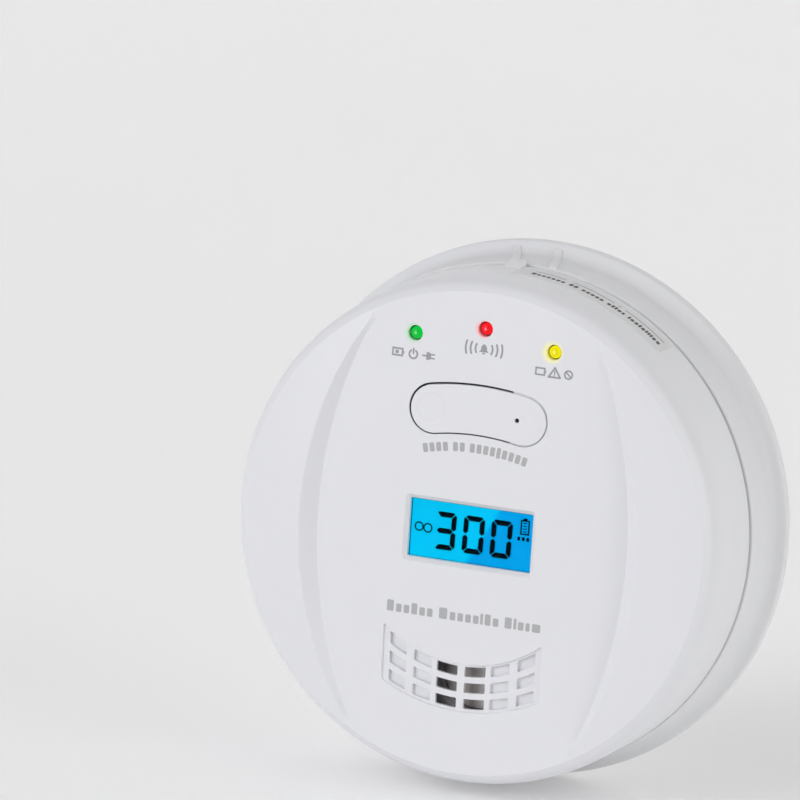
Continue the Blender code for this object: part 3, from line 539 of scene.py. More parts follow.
def front_cover():
    """The moulded cover, with its recesses, holes, inner skin and rear edge."""
    recesses = face_recesses()
    lines = facet_lines()
    loops = [loop for recess in recesses for loop in recess.loops()]
    loose = clear_of(hex_grid(52.7, 1.15), recesses, lines, 0.3)
    circles = [circle(r) for r in (FACE_R, FACE_R - 0.25, FACE_R - 0.6)]
    points, faces = triangulate(circles + loops, lines, loose)
    holes = [r for r in recesses if r.wall is not None]
    outlines = [hole.outline for hole in holes]
    shell = Shell()
    shell.add(lifted(points, sunk_z(points, recesses)), outside(points, faces, outlines))

    hole_floors = []
    for hole in holes:
        edge = sunk_z(hole.outline, recesses)
        floor = edge - hole.wall
        hole_floors.append((hole.outline, floor))
        levels = [lifted(hole.outline, z) for z in (edge, edge - 0.18, floor)]
        shell.rings(levels[:2])
        # The lower wall takes the hole's dark slot, which is painted shade for the button's slot.
        shell.rings(levels[1:], hole.dark)

    skin_edge = circle(SKIN_EDGE_R)
    grid = hex_grid(50.5, 2.6)
    for outline in outlines:
        grid = grid[distance_to(grid, outline) > 0.9]
    under, skin = triangulate([skin_edge, *outlines], [], grid)
    z = face_z(*under.T) - WALL
    for outline, floor in hole_floors:
        for place, height in zip(outline, floor):
            z[np.argmin(((under - place) ** 2).sum(1))] = height
    shell.add(lifted(under, z), outside(under, skin, outlines))

    outer = [lifted(circles[0], sunk_z(circles[0], []))]
    for r, h in smooth_line(SHOULDER, 5)[1:]:
        outer.append(ring(r, FACE_Z + h))
    seam = ((56.5, 24.0), (56.5, SEAM + 0.45), (56.46, SEAM + 0.2), (56.35, SEAM + 0.06), (56.15, SEAM))
    inside = ((54.6, SEAM), (54.35, SEAM + 0.1), (54.3, SEAM + 0.4), (54.3, 32.0), (53.9, 34.6), (52.8, 35.9))
    outer += [ring(r, h) for r, h in seam + inside]
    outer.append(lifted(skin_edge, face_z(*skin_edge.T) - WALL))
    shell.rings(outer)
    # The second finish is painted shade for the lower wall of the button's slot.
    finishes = [cover_plastic(), plastic("slot_painted_shade", SLOT_PAINTED_SHADE)]
    cover = shell.build("front_cover_moulding", finishes, "alarm_body", smooth=COVER_SHARP)
    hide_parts("front_cover")


def alignment_nub():
    """The small ramp on the cover's rear edge, at the top."""
    shell = Shell()
    width = 2.0
    section = [
        (56.0, 16.22), (57.75, 16.22), (57.88, 16.34), (57.8, 16.7), (57.45, 17.9), (56.7, 19.9),
        (56.0, 20.3),
    ]
    rings = []
    for x, squeeze in ((-width, 0.55), (-width + 0.12, 0.2), (-width + 0.3, 0.0), (width - 0.3, 0.0),
                       (width - 0.12, 0.2), (width, 0.55)):
        rings.append([(x, r - squeeze * min(1, max(0, r - 56.2)), z) for r, z in section])
    t = radians(NUB_ANGLE - 90)
    rings = [[(x * cos(t) - q * sin(t), x * sin(t) + q * cos(t), z) for x, q, z in one] for one in rings]
    shell.rings(rings)
    for flat in (rings[0], rings[-1]):
        shell.add(flat, [tuple(range(len(flat)))])
    nub = shell.build("cover_alignment_nub", [plastic("nub_plastic", SHELL)], "alarm_body")


def test_button():
    """The flap, its hinge and the part of the face beyond it, as one moulding."""
    inner, outer = kidney(BUTTON_HALF) + FLAP_SHIFT, kidney(BUTTON_HALF + BUTTON_SLOT - 0.01)
    profile = [
        (-0.5, 0), (-0.24, 0), (-0.15, 0.015), (-0.07, 0.06), (-0.02, 0.14), (0.0, 0.22),
        (0.02, GROOVE_DEPTH), (BUTTON_SLOT, GROOVE_DEPTH),
    ]
    flap = Recess(inner, profile)
    pin = Recess(circle(0.52, 24, PIN_HOLE), [(0.3, 0), (0.12, 0), (0.05, 0.02), (0.0, 0.08), (-0.04, 1.4)])
    loops = [outer] + [offset(inner, o) for o, _ in profile[:-1]] + pin.loops()
    loops += [circle(DIMPLE_R + o, 64, DIMPLE) for o in (-0.5, -0.25, 0, 0.25, 0.5)]
    walls = [np.array([(SLOT_END_X, y - 1.2), (SLOT_END_X, y + 1.2)]) for y in (22.3, 32.9)]
    loose = hex_grid(60, 0.9)
    loose = loose[distance_to(loose, inner) < -0.8]
    loose = loose[np.abs(np.hypot(*(loose - DIMPLE).T) - DIMPLE_R) > 0.75]
    loose = loose[np.hypot(*(loose - PIN_HOLE).T) > 0.8]
    points, faces = triangulate(loops, walls, loose)
    centres = points[faces].mean(1)
    d = distance_to(centres, inner)
    faces = faces[(distance_to(centres, outer) < 0) & ((d < 0.02) | (centres[:, 0] > SLOT_END_X))]

    def top(p):
        dip = np.clip((DIMPLE_R + 0.3 - np.hypot(*(p - DIMPLE).T)) / 0.6, 0, 1)
        return sunk_z(p, [flap, pin]) - DIMPLE_DEPTH * dip * dip * (3 - 2 * dip)

    shell = Shell()
    z = top(points)
    in_pin = np.hypot(*(points[faces].mean(1) - PIN_HOLE).T) < 0.5
    shell.add(lifted(points, z), faces[~in_pin])
    shell.add(lifted(points, z), faces[in_pin], slot=1)
    shell.add(lifted(points, FLAP_BOTTOM), faces)
    for i, j in edge_loops(faces):
        a, b = points[i], points[j]
        shell.add([(*a, z[i]), (*b, z[j]), (*b, FLAP_BOTTOM), (*a, FLAP_BOTTOM)], [(0, 1, 2, 3)], slot=1)
    lathe(shell, [(0, 38.35), (1.6, 38.35), (1.6, 31.6), (1.35, 31.3), (0, 31.3)], PUSHER)
    # The flap's sides and the pin hole's faces take painted shade instead of the button's white.
    finishes = [plastic("button_plastic", SHELL), plastic("button_side_painted_shade", SLOT_PAINTED_SHADE)]
    button = shell.build("test_button_flap", finishes, None, smooth=COVER_SHARP)
    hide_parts("test_button")
    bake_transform(button)


def edge_loops(faces):
    """The sides that only one face has."""
    seen = {}
    for face in faces:
        for i, j in zip(face, (*face[1:], face[0])):
            key = (min(i, j), max(i, j))
            seen[key] = None if key in seen else (i, j)
    return [side for side in seen.values() if side is not None]


# ---------------------------------------------------------------- mounting plate

SKIRT = [
    (56.6, 15.7), (56.9, 15.4), (57.0, 10.0), (57.15, 6.6), (57.5, 5.2), (58.2, 4.2), (59.0, 3.55),
    (59.6, 3.12),
]
SKIRT_INSIDE = [(54.9, 15.7), (54.9, 12.5), (55.6, 7.2), (56.4, 4.0), (57.3, 2.2)]
WEB_Z = 2.2                        # the plate's front face inside its skirt
SCREW_R = 30.0                     # the screw slots' distance from the centre
RIB_ANGLES = ((93.4, 97.4), (84.4, 87.8))     # at the seam and at the back
RIB_HALF = 0.95
RIB_END_R = 59.0
RIB_RISE = 0.42


def back_recesses():
    """Six shallow pockets and four screw slots, in the plate's back face."""
    pocket = [(0.25, 0), (0.1, 0.02), (0.0, 0.12), (-0.05, 0.8), (-0.15, 0.9), (-0.4, 0.9)]
    made = []
    for i in range(6):
        start = 60 * i + 31.3
        outline = np.concatenate([
            arc((0, 0), 51, start, start + 57.4, 48), arc((0, 0), 13, start + 57.4, start, 14),
        ])
        made.append(Recess(outline, pocket))
    for place, turn in ((0, 90), (90, 0), (180, 90), (270, 0)):
        base = np.concatenate([arc((3.1, 0), 1.9, -90, 90, 15), arc((-3.1, 0), 1.9, 90, 270, 15)])
        t, at = radians(turn), arc((0, 0), SCREW_R, place, place, 1)[0]
        spun = base @ np.array([[cos(t), sin(t)], [-sin(t), cos(t)]]) + at
        made.append(Recess(spun, [(0.3, 0), (0.0, 0.06)], wall=0.0))
    return made


def mounting_plate():
    recesses = back_recesses()
    slots = [r.outline for r in recesses if r.wall is not None]
    pockets = [r for r in recesses if r.wall is None]
    loops = [loop for r in pockets for loop in r.loops()] + slots
    loose = clear_of(hex_grid(58.5, 3.5), pockets, [], 0.5)
    for slot in slots:
        loose = loose[distance_to(loose, slot) > 0.6]
    edge = circle(59.35)
    points, faces = triangulate([edge, *loops], [], loose)
    shell = Shell()
    depth = sum(r.sink(points, 0) for r in pockets)
    shell.add(lifted(points, depth), outside(points, faces, slots))
    for slot in slots:
        sunk = sum(p.sink(slot, 0) for p in pockets)
        shell.rings([lifted(slot, sunk), lifted(slot, WEB_Z)])

    grid = hex_grid(56, 4.5)
    for slot in slots:
        grid = grid[distance_to(grid, slot) > 0.9]
    web, skin = triangulate([circle(57.3), *slots], [], grid)
    shell.add(lifted(web, WEB_Z), outside(web, skin, slots))

    outer = smooth_line(SKIRT[1:], 8)
    profile = [
        (59.35, 0.0), (59.62, 0.02), (59.85, 0.12), (59.97, 0.3), (60.0, 0.6), (60.0, 2.5), (59.96, 2.75),
        (59.85, 2.94), *outer[::-1],
        (56.86, 15.55), (56.75, 15.66), (56.6, 15.7), (55.15, 15.7), (54.98, 15.62), (54.9, 15.45),
        *smooth_line([(54.9, 15.0), *SKIRT_INSIDE[1:]], 6),
    ]
    shell.rings([ring(r, z) for r, z in profile])

    for angle in (30, 150, 270):
        outline = np.concatenate([
            arc((0, 0), 55.8, angle - 5, angle + 5, 12), arc((0, 0), 53.75, angle + 5, angle - 5, 12),
        ])
        prism(shell, outline, 8.6, 10.2)
    finish = plastic("plate_plastic", PLATE, rough=(0.38, 0.5), grain=0.000018, grain_scale=3400.0)
    plate = shell.build("mounting_plate_moulding", [finish], "mounting_plate")
    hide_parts("mounting_plate")


def alignment_ribs():
    """Two low ribs that lean down the skirt and onto its flange, at the top."""
    line = smooth_line(SKIRT[1:], 8)
    line = line[line[:, 0] < RIB_END_R]
    run = np.concatenate([[0], np.cumsum(np.hypot(*np.diff(line, axis=0).T))])
    length = run[-1]
    ends = [0, 0.08, 0.2, 0.4], length - [0.35, 0.18, 0.07, 0]
    places = np.concatenate([ends[0], np.linspace(0.8, length - 0.6, 26), ends[1]])
    path = np.column_stack([np.interp(places, run, column) for column in line.T])
    along = np.gradient(path, places, axis=0)
    outward = np.column_stack([-along[:, 1], along[:, 0]])
    outward /= np.linalg.norm(outward, axis=1)[:, None]
    for number, (front, back) in enumerate(RIB_ANGLES, 1):
        shell = Shell()
        sections = []
        for place, (r, z), (out_r, out_z) in zip(places, path, outward):
            end = min(1.0, place / 0.4, (length - place) / 0.35)
            rise = RIB_RISE * sqrt(max(0.0, 1 - (1 - end) ** 2))
            half = RIB_HALF * (0.80 + 0.20 * end)
            section = [
                (-half - 0.05, -0.15), (-half + 0.02, 0.3 * rise), (-half + 0.14, 0.85 * rise),
                (-half + 0.34, rise),
            ]
            section += [(-x, q) for x, q in section[::-1]]
            t = radians(front + (back - front) * place / length - 90)
            sections.append([
                (x * cos(t) - (r + q * out_r) * sin(t), x * sin(t) + (r + q * out_r) * cos(t), z + q * out_z)
                for x, q in section
            ])
        shell.rings(sections)
        for flat in (sections[0], sections[-1]):
            shell.add(flat, [tuple(range(len(flat)))])
        finish = plastic(f"rib_plastic_{number}", PLATE)
        rib = shell.build(f"plate_alignment_rib_{number}", [finish], "mounting_plate")


# ---------------------------------------------------------------- materials

def feed(tree, socket, value):
    """Gives a socket a constant, or another node's output."""
    if isinstance(value, bpy.types.NodeSocket):
        tree.links.new(value, socket)
    else:
        socket.default_value = value


def put(tree, kind, inputs, **settings):
    """A new shader node; inputs maps a socket's name or number to a constant or an output."""
    node = tree.nodes.new("ShaderNode" + kind)
    for name, value in settings.items():
        setattr(node, name, value)
    for name, value in inputs.items():
        feed(tree, node.inputs[name], value)
    return node


def added(tree, vectors):
    """The sum of colours."""
    total = vectors[0]
    for vector in vectors[1:]:
        total = put(tree, "VectorMath", {0: total, 1: vector}, operation="ADD").outputs["Vector"]
    return total


class Look:
    """A material in the making. Places are object coordinates, in metres."""

    def __init__(self, name):
        self.material = bpy.data.materials.new(name)
        self.material.use_nodes = True
        self.tree = self.material.node_tree
        self.shader = self.tree.nodes["Principled BSDF"]
        self.place = self.put("TexCoord", {}).outputs["Object"]

    def put(self, kind, inputs, **settings):
        return put(self.tree, kind, inputs, **settings)

    def shade(self, **inputs):
        """Feeds the shader's sockets, named with _ for each space, and returns the material."""
        for name, value in inputs.items():
            feed(self.tree, self.shader.inputs[name.replace("_", " ")], value)
        return self.material

    def noise(self, scale, detail=2.0, stretch=None):
        """A noise texture; scale is in features per metre."""
        source = self.place
        if stretch:
            source = self.put("Mapping", {"Vector": source, "Scale": stretch}).outputs["Vector"]
        return self.put("TexNoise", {"Vector": source, "Scale": scale, "Detail": detail}).outputs["Fac"]

    def ranged(self, value, start, end, low=0.0, high=1.0, **settings):
        """Maps start..end to low..high."""
        inputs = {"Value": value, "From Min": start, "From Max": end, "To Min": low, "To Max": high}
        return self.put("MapRange", inputs, **settings).outputs["Result"]

    def spread(self, value, low, high):
        """Maps a noise's middle range to low..high."""
        return self.ranged(value, 0.3, 0.7, low, high)

    def tinted(self, value, first, second):
        """A colour between two, by a value."""
        ends = [c if isinstance(c, bpy.types.NodeSocket) else (*c, 1) for c in (first, second)]
        return self.put("Mix", {0: value, 6: ends[0], 7: ends[1]}, data_type="RGBA").outputs[2]

    def distance(self, start, end):
        return self.put("VectorMath", {0: start, 1: end}, operation="DISTANCE").outputs["Value"]

    def bumped(self, heights, distance, strength):
        bump = self.put("Bump", {"Height": heights, "Distance": distance, "Strength": strength})
        self.shade(Normal=bump.outputs["Normal"])


def shaded(colour, share):
    return tuple(c * share for c in colour)


def plastic_look(name, colour, rough=(0.36, 0.46), grain=0.000012, grain_scale=4200.0):
    """Moulded plastic: fine spark-eroded grain, uneven gloss and a slight drift of colour."""
    look = Look(name)
    look.bumped(look.noise(grain_scale), grain, 0.6)
    look.shade(
        Base_Color=look.tinted(look.noise(38.0, 3.0), shaded(colour, 0.985), colour),
        Roughness=look.spread(look.noise(260.0, 4.0), *rough), Specular_IOR_Level=0.42,
    )
    return look


def plastic(name, colour, **settings):
    return plastic_look(name, colour, **settings).material


def rubber(name, colour):
    return plastic(name, colour, rough=(0.6, 0.8), grain=0.00003, grain_scale=2600.0)


def cover_plastic():
    """The cover's plastic, with the light that the lamps throw beside their holes painted into its colour and
    emission.
    """
    look = plastic_look("cover_plastic", SHELL)
    base = look.shader.inputs["Base Color"].links[0].from_socket
    glows = []
    for name, (x, y) in LEDS.items():
        centre = to_world([(x - 0.32, y - 0.05, FACE_Z + 0.55)])[0]
        apart = look.distance(look.place, centre)
        fall = look.ranged(apart, GLOW_START, GLOW_REACH[name], GLOW_SHARE[name], 0.0,
                           interpolation_type="SMOOTHSTEP")
        base = look.tinted(fall, base, [0.25 + 0.75 * c for c in LED_COLOURS[name]])
        glows.append(look.tinted(fall, (0, 0, 0), shaded(LED_COLOURS[name], 0.2)))
    return look.shade(Base_Color=base, Emission_Color=added(look.tree, glows), Emission_Strength=1.0)


def metal(name, colour, stretch=(1, 1, 1)):
    """Plated or brushed metal with streaks along one way."""
    look = Look(name)
    streaks = look.noise(900.0, 4.0, stretch)
    look.bumped(streaks, 0.00001, 0.5)
    return look.shade(
        Base_Color=look.tinted(streaks, shaded(colour, 0.8), colour), Metallic=1.0,
        Roughness=look.spread(streaks, 0.22, 0.42),
    )


def diaphragm_material():
    """Brass: spun rings, with a painted reflection that is darker towards the left and lighter towards the
    right.
    """
    look = Look("diaphragm_brass")
    across = look.put("SeparateXYZ", {"Vector": look.place}).outputs["X"]
    centred = look.put("Mapping", {"Vector": look.place, "Location": (-BUZZER[0] * MM, 0, -BUZZER[1] * MM)})
    rings = look.put("TexWave", {"Vector": centred.outputs["Vector"], "Scale": 700.0}, wave_type="RINGS",
                     rings_direction="Y")
    look.bumped(rings.outputs["Fac"], 0.00001, 0.4)
    # Painted reflection: the colour runs from dark at the left to light at the right.
    colour = look.tinted(look.ranged(across, -0.0055, 0.0045), (0.22, 0.20, 0.20), (0.66, 0.62, 0.60))
    return look.shade(Base_Color=colour, Metallic=0.6, Roughness=0.42)


def print_ink(name, colour):
    """Pad-printed ink: matt and a little patchy."""
    look = Look(name)
    tint = look.tinted(look.noise(1800.0, 3.0), shaded(colour, 0.93), shaded(colour, 1.07))
    return look.shade(Base_Color=tint, Roughness=0.62, Specular_IOR_Level=0.3)


def lens_material():
    """Clear acrylic, faintly uneven."""
    look = Look("display_lens_acrylic")
    return look.shade(
        Roughness=look.spread(look.noise(120.0), 0.0, 0.03), Base_Color=(0.97, 1.0, 1.0, 1),
        Transmission_Weight=1.0, IOR=1.49, Specular_Tint=(0.04, 0.04, 0.05, 1),
    )


def lcd_material():
    """A lit display: cyan, with a deeper blue beyond a slanted line; the lighter cyan side is a painted
    sheen.
    """
    look = Look("display_backlit_blue_and_painted_sheen")
    split = look.put("SeparateXYZ", {"Vector": look.place}).outputs
    top, bottom = LCD_SHEEN_LINE
    run = (top[0] - bottom[0]) / (top[1] - bottom[1])
    shift = -(bottom[0] - run * bottom[1]) * MM
    along = look.put("Math", {0: split["Z"], 1: -run, 2: shift}, operation="MULTIPLY_ADD").outputs["Value"]
    side = look.put("Math", {0: split["X"], 1: along}, operation="ADD").outputs["Value"]
    colour = look.tinted(look.ranged(side, -LCD_SHEEN_EDGE, LCD_SHEEN_EDGE), (0.0, 0.535, 0.90), (0.0, 0.350, 0.815))
    return look.shade(
        Emission_Color=colour, Emission_Strength=look.spread(look.noise(90.0), 0.96, 1.03),
        Base_Color=(0.0, 0.01, 0.02, 1), Roughness=0.4, Specular_IOR_Level=0.0,
    )


def segment_material():
    """A dark liquid crystal segment, which lets a trace of the light through."""
    look = Look("display_segment_black")
    return look.shade(
        Emission_Color=look.tinted(look.noise(300.0), (0.0, 0.0012, 0.003), (0.0, 0.004, 0.009)),
        Emission_Strength=1.0, Base_Color=(0.001, 0.001, 0.002, 1), Roughness=0.6, Specular_IOR_Level=0.0,
    )


def lamp_material(name, place):
    """A lit lens: the die and its reflector cup show as rings inside, and the rim is deeper."""
    colour = LED_COLOURS[name]
    look = Look(f"lamp_lens_{name}")
    flat = look.put("VectorMath", {0: look.place, 1: (1, 0, 1)}, operation="MULTIPLY").outputs["Vector"]
    centre = to_world([(*place, 0)])[0]
    apart = look.distance(flat, (centre[0], 0, centre[2]))
    share = look.put("Math", {0: apart, 1: LAMP_R * MM}, operation="DIVIDE").outputs["Value"]
    light = tuple(0.22 + 0.78 * c for c in colour)
    rings = [
        (0.24, 0.8), (0.42, 0.7), (0.50, 1), (0.58, 0.55), (0.66, 0.9), (0.86, 1), (0.93, 0.35), (1.0, 0.16),
    ]
    stops = [(0.0, light), (0.16, light)] + [(at, shaded(colour, part)) for at, part in rings]
    ramp = look.put("ValToRGB", {"Fac": share})
    elements = ramp.color_ramp.elements
    while len(elements) < len(stops):
        elements.new(0.5)
    for element, (at, _) in zip(elements, stops):
        element.position = at
    for element, (_, tint) in zip(elements, stops):
        element.color = (*tint, 1)
    return look.shade(
        Emission_Color=ramp.outputs["Color"], Emission_Strength=look.spread(look.noise(1500.0), 0.88, 0.98),
        Base_Color=(*shaded(colour, 0.25), 1), Roughness=0.12, Specular_IOR_Level=0.25,
    )


def board_material():
    """Green solder mask with faint tracks."""
    look = Look("solder_mask")
    turned = look.put("Mapping", {"Vector": look.place, "Rotation": (pi / 2, 0, 0)}).outputs["Vector"]
    brick = look.put("TexBrick", {
        "Vector": turned, "Scale": 180.0, "Mortar Size": 0.05, "Mortar": (0.045, 0.260, 0.110, 1),
        "Color1": (0.020, 0.150, 0.060, 1), "Color2": (0.026, 0.180, 0.074, 1),
    })
    return look.shade(Base_Color=brick.outputs["Color"], Roughness=look.spread(look.noise(500.0), 0.25, 0.4))


def jacket_material():
    """Battery film: dark, with faint bands."""
    look = Look("cell_film")
    wave = look.put("TexWave", {"Vector": look.place, "Scale": 7.0, "Distortion": 0.6}).outputs["Fac"]
    tint = look.tinted(wave, (0.03, 0.035, 0.04), (0.08, 0.085, 0.09))
    return look.shade(Base_Color=tint, Roughness=look.spread(look.noise(700.0), 0.2, 0.35))


# ---------------------------------------------------------------- display and lamps

LCD_Z = 37.2
# The slanted line where the painted sheen's cyan meets the deeper blue, and that step's half width.
LCD_SHEEN_LINE = ((6.0, 6.2), (-0.95, -6.35))
LCD_SHEEN_EDGE = 0.00003                 # half width of the step between the blues, in metres
SLANT = 0.022
DIGIT_HALF = (2.5, 4.25)
SEGMENT = 1.2
LENS_TOP = 39.18
GLASS_BORDER = ((-15.5, 13.82), (-6.72, 6.12))

SEGMENTS = {"3": "abcdg", "0": "abcdef"}


def segment_outlines(which, centre):
    """Outlines of one digit's lit segments, slanted, with chamfered corners and thin gaps."""
    (hx, hy), t, gap = DIGIT_HALF, SEGMENT, 0.075
    m, k = t / 2, 0.78

    def across(s):
        row = [(hx - k, hy), (hx - k / 2 - gap, hy - k / 2 + gap * 0.4), (hx - t - gap, hy - t)]
        row = row + [(-x, y) for x, y in row[::-1]]
        return [(x, s * y) for x, y in row]

    def upright(s, v):
        row = [
            (hx, hy - k), (hx - k / 2 + gap * 0.4, hy - k / 2 - gap), (hx - t, hy - t - gap),
            (hx - t, m + gap), (hx - m, 0.10), (hx, m * 0.8 + gap),
        ]
        return [(s * x, v * y) for x, y in row]

    shapes = {
        "a": across(1), "d": across(-1),
        "b": upright(1, 1), "c": upright(1, -1), "f": upright(-1, 1), "e": upright(-1, -1),
        "g": [(-hx + 0.48, 0), (-hx + 0.48 + m, m), (hx - t - gap * 0.4, m), (hx - m - gap * 1.5, 0),
              (hx - t - gap * 0.4, -m), (-hx + 0.48 + m, -m)],
    }
    return [[(centre[0] + x + SLANT * y, centre[1] + y) for x, y in shapes[name]] for name in which]


def annulus(centre, radius, width):
    """A ring as two half outlines, so that each is a plain outline."""
    halves = []
    for start in (0, 180):
        outer = arc(centre, radius + width / 2, start, start + 180, 20)
        inner = arc(centre, radius - width / 2, start + 180, start, 20)
        halves.append(np.concatenate([outer, inner]))
    return halves


def bar(start, end, width, round_ends=True):
    """A straight stroke."""
    a, b = np.array(start, float), np.array(end, float)
    angle = degrees(atan2(*(b - a)[::-1]))
    if round_ends:
        caps = (b, angle - 90), (a, angle + 90)
        return np.concatenate([arc(tip, width / 2, turn, turn + 180, 7) for tip, turn in caps])
    side = np.array([-(b - a)[1], (b - a)[0]]) / np.linalg.norm(b - a) * width / 2
    return np.array([a - side, b - side, b + side, a + side])


def box_stroke(centre, half, width):
    """A rectangular frame as four bars."""
    (cx, cy), (hx, hy) = centre, half
    w = width / 2
    return [
        bar((cx - hx - w, cy + hy), (cx + hx + w, cy + hy), width, False),
        bar((cx - hx - w, cy - hy), (cx + hx + w, cy - hy), width, False),
        bar((cx - hx, cy - hy), (cx - hx, cy + hy), width, False),
        bar((cx + hx, cy - hy), (cx + hx, cy + hy), width, False),
    ]


def display_lens():
    """The clear window: a raised face, whose sides are coloured dark as painted shade, over a wider flange.
    """
    lens = Shell()
    face = spaced(rounded_box((0, 0), (WINDOW[0] - 0.06, WINDOW[1] - 0.06), 0.22), 1.5)
    flange = spaced(rounded_box((0, 0), (16.5, 8.5), 0.5), 1.5)
    prism_rings(lens, [(offset(face, -0.06), LENS_TOP), (face, LENS_TOP - 0.06), (face, 38.0)], flange, 37.5)
    # Painted shade: the lens's sides are a dark colour instead of clear acrylic.
    border = plastic("display_lens_side_shade", (0.004, 0.02, 0.03), rough=(0.3, 0.5), grain=0.000004)
    lens = lens.build("display_lens", [lens_material(), border], "alarm_body", smooth=30)
    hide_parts("display_window")


def display_glass():
    glass = Shell()
    prism(glass, spaced(rounded_box((0, 0), (17.0, 11.6), 0.3), 2.0), 35.0, LCD_Z)
    glass = glass.build("display_liquid_crystal", [lcd_material()], "alarm_body", smooth=30)
    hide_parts("display_glass")


def display_segments():
    """The lit digits, the gas's symbol, a battery, the unit's blocks and the glass's border."""
    marks = []
    for text, x in (("3", -6.67), ("0", 0.0), ("0", 6.57)):
        marks += segment_outlines(SEGMENTS[text], (x, -0.35))
    marks += annulus((-12.86, -0.12), 0.92, 0.33) + annulus((-10.78, -0.22), 0.94, 0.33)
    marks += box_stroke((11.95, 3.02), (0.90, 1.50), 0.34)
    marks.append(bar((11.5, 4.88), (12.4, 4.88), 0.42, False))
    for k in range(4):
        marks.append(bar((11.5, 2.06 + 0.64 * k), (12.4, 2.06 + 0.64 * k), 0.24, False))
    for k in range(3):
        marks.append(bar((10.35 + 1.05 * k, 0.42), (11.0 + 1.05 * k, 0.42), 0.85, False))
    (left, right), (low, high) = GLASS_BORDER
    sides = ((left, high), (right, high)), ((left, low), (right, low)), ((right, low), (right, high))
    marks += [bar(start, end, 0.17, False) for start, end in sides]
    segments = Shell()
    for k, outline in enumerate(marks):
        prism(segments, outline, LCD_Z + 0.02, LCD_Z + 0.05 + 0.001 * (k % 7))
    segments = segments.build("display_segments", [segment_material()], "alarm_body", smooth=30)


def prism_rings(shell, rings, flange, low):
    """A stepped clear block: a raised face over a wider flange."""
    levels = [lifted(outline, z) for outline, z in rings]
    shell.rings(levels[:2])
    shell.rings(levels[1:], 1)
    step, step_z = rings[-1]
    shell.rings([lifted(flange, step_z), lifted(flange, low)])
    for outline, z in (rings[0], (flange, low)):
        points, faces = filled(outline)
        shell.add(lifted(points, z), faces)
    points, faces = triangulate([flange, step], [], [])
    faces = faces[distance_to(points[faces].mean(1), flange) < 0]
    shell.add(lifted(points, step_z), outside(points, faces, [step]))


def lamps():
    low = LAMP_TIP_Z - LAMP_R
    for name, place in LEDS.items():
        shell = Shell()
        dome = [(LAMP_R * sin(radians(a)), low + LAMP_R * cos(radians(a))) for a in range(0, 91, 9)]
        rim = [(LAMP_R, 35.35), (1.56, 35.2), (1.85, 35.2), (1.9, 35.1), (1.9, 34.4), (1.8, 34.3), (0, 34.3)]
        lathe(shell, dome + rim, place)
        for side in (-1, 1):
            leg = rounded_box((place[0] + side * 0.75, place[1]), (0.25, 0.25), 0.06, 3)
            prism(shell, leg, ON_BOARD, 34.35, slot=1)
        finishes = [lamp_material(name, place), metal(f"lamp_leg_{name}", (0.6, 0.6, 0.62))]
        lamp = shell.build(f"lamp_{name}", finishes, "alarm_body")
        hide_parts(f"led_{name}")


def buzzer():
    """The resonator's housing behind the open cells, and the diaphragm set in its front."""
    shell = Shell()
    profile = [
        (8.62, 35.6), (8.72, 35.7), (9.6, 35.7), (9.72, 35.6), (9.95, 35.6), (10.07, 35.7), (13.25, 35.7),
        (13.4, 35.55), (13.4, 34.9), (13.0, 34.9), (13.0, 24.9), (11.8, 24.9), (11.8, 33.9), (7.0, 33.9),
        (7.0, 34.7), (8.62, 34.7), (8.62, 35.6),
    ]
    lathe(shell, profile, BUZZER, 120)
    finish = plastic("buzzer_housing_plastic", (0.32, 0.295, 0.30), rough=(0.35, 0.5), grain=0.00002)
    cup = shell.build("buzzer_resonator", [finish], "alarm_body")
    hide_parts("buzzer_housing")
    shell = Shell()
    profile = [
        (0, 35.4), (7.9, 35.4), (8.2, 35.4), (8.3, 35.3), (8.3, 35.0), (6.2, 35.0), (6.2, 34.6), (0, 34.6),
    ]
    lathe(shell, profile, BUZZER, 120)
    disc = shell.build("buzzer_diaphragm", [diaphragm_material()], "alarm_body")
    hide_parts("buzzer_piezo_disc")


# ---------------------------------------------------------------- printed marks

BLOCK_FILL = 0.72                  # share of a letter's width that its block takes


def word_blocks(letters, start, end):
    """Blocks for a line of print, as (middle, half width, height); letters are (width, height) pairs."""
    total = sum(w for w, _ in letters)
    scale = (end - start) / total
    made, at = [], start
    for width, height in letters:
        if height:
            made.append((at + width * scale / 2, width * scale * BLOCK_FILL / 2, height))
        at += width * scale
    return made


TITLE = (
    [(1.35, 2.5)] + [(1.1, 1.85)] * 2 + [(1.15, 2.5)] + [(1.1, 1.85)] * 2 + [(0.55, 0)]
    + [(1.6, 2.5)] + [(1.1, 1.85)] * 4 + [(0.55, 2.5), (1.15, 2.5), (1.1, 1.85)] + [(0.55, 0)]
    + [(1.35, 2.5), (0.55, 2.5)] + [(1.1, 1.85), (0.8, 1.85), (1.6, 1.85)]
)
HINT = (
    [(1.0, 2.0)] * 4 + [(0.5, 0)] + [(1.0, 2.0)] * 2 + [(0.5, 0)] + [(1.0, 2.0)] * 4 + [(0.8, 2.4)]
    + [(1.0, 2.0)] * 4
)
SIDE_LINE = (
    [(1.2, 1.9)] + [(1, 1.4)] * 6 + [(0.7, 0)] + [(1, 1.9)] * 2 + [(0.7, 0)] + [(1, 1.4)] * 5 + [(0.7, 0)]
    + [(1, 1.4), (0.7, 1.9), (0.7, 1.9), (1, 1.4), (0.8, 1.4)] + [(0.7, 0)]
    + [(0.6, 1.8)] + [(1, 1.4)] * 2 + [(0.7, 1.8), (1, 1.4)] + [(0.6, 1.8)] * 3 + [(1, 1.4), (1.1, 1.4)]
)


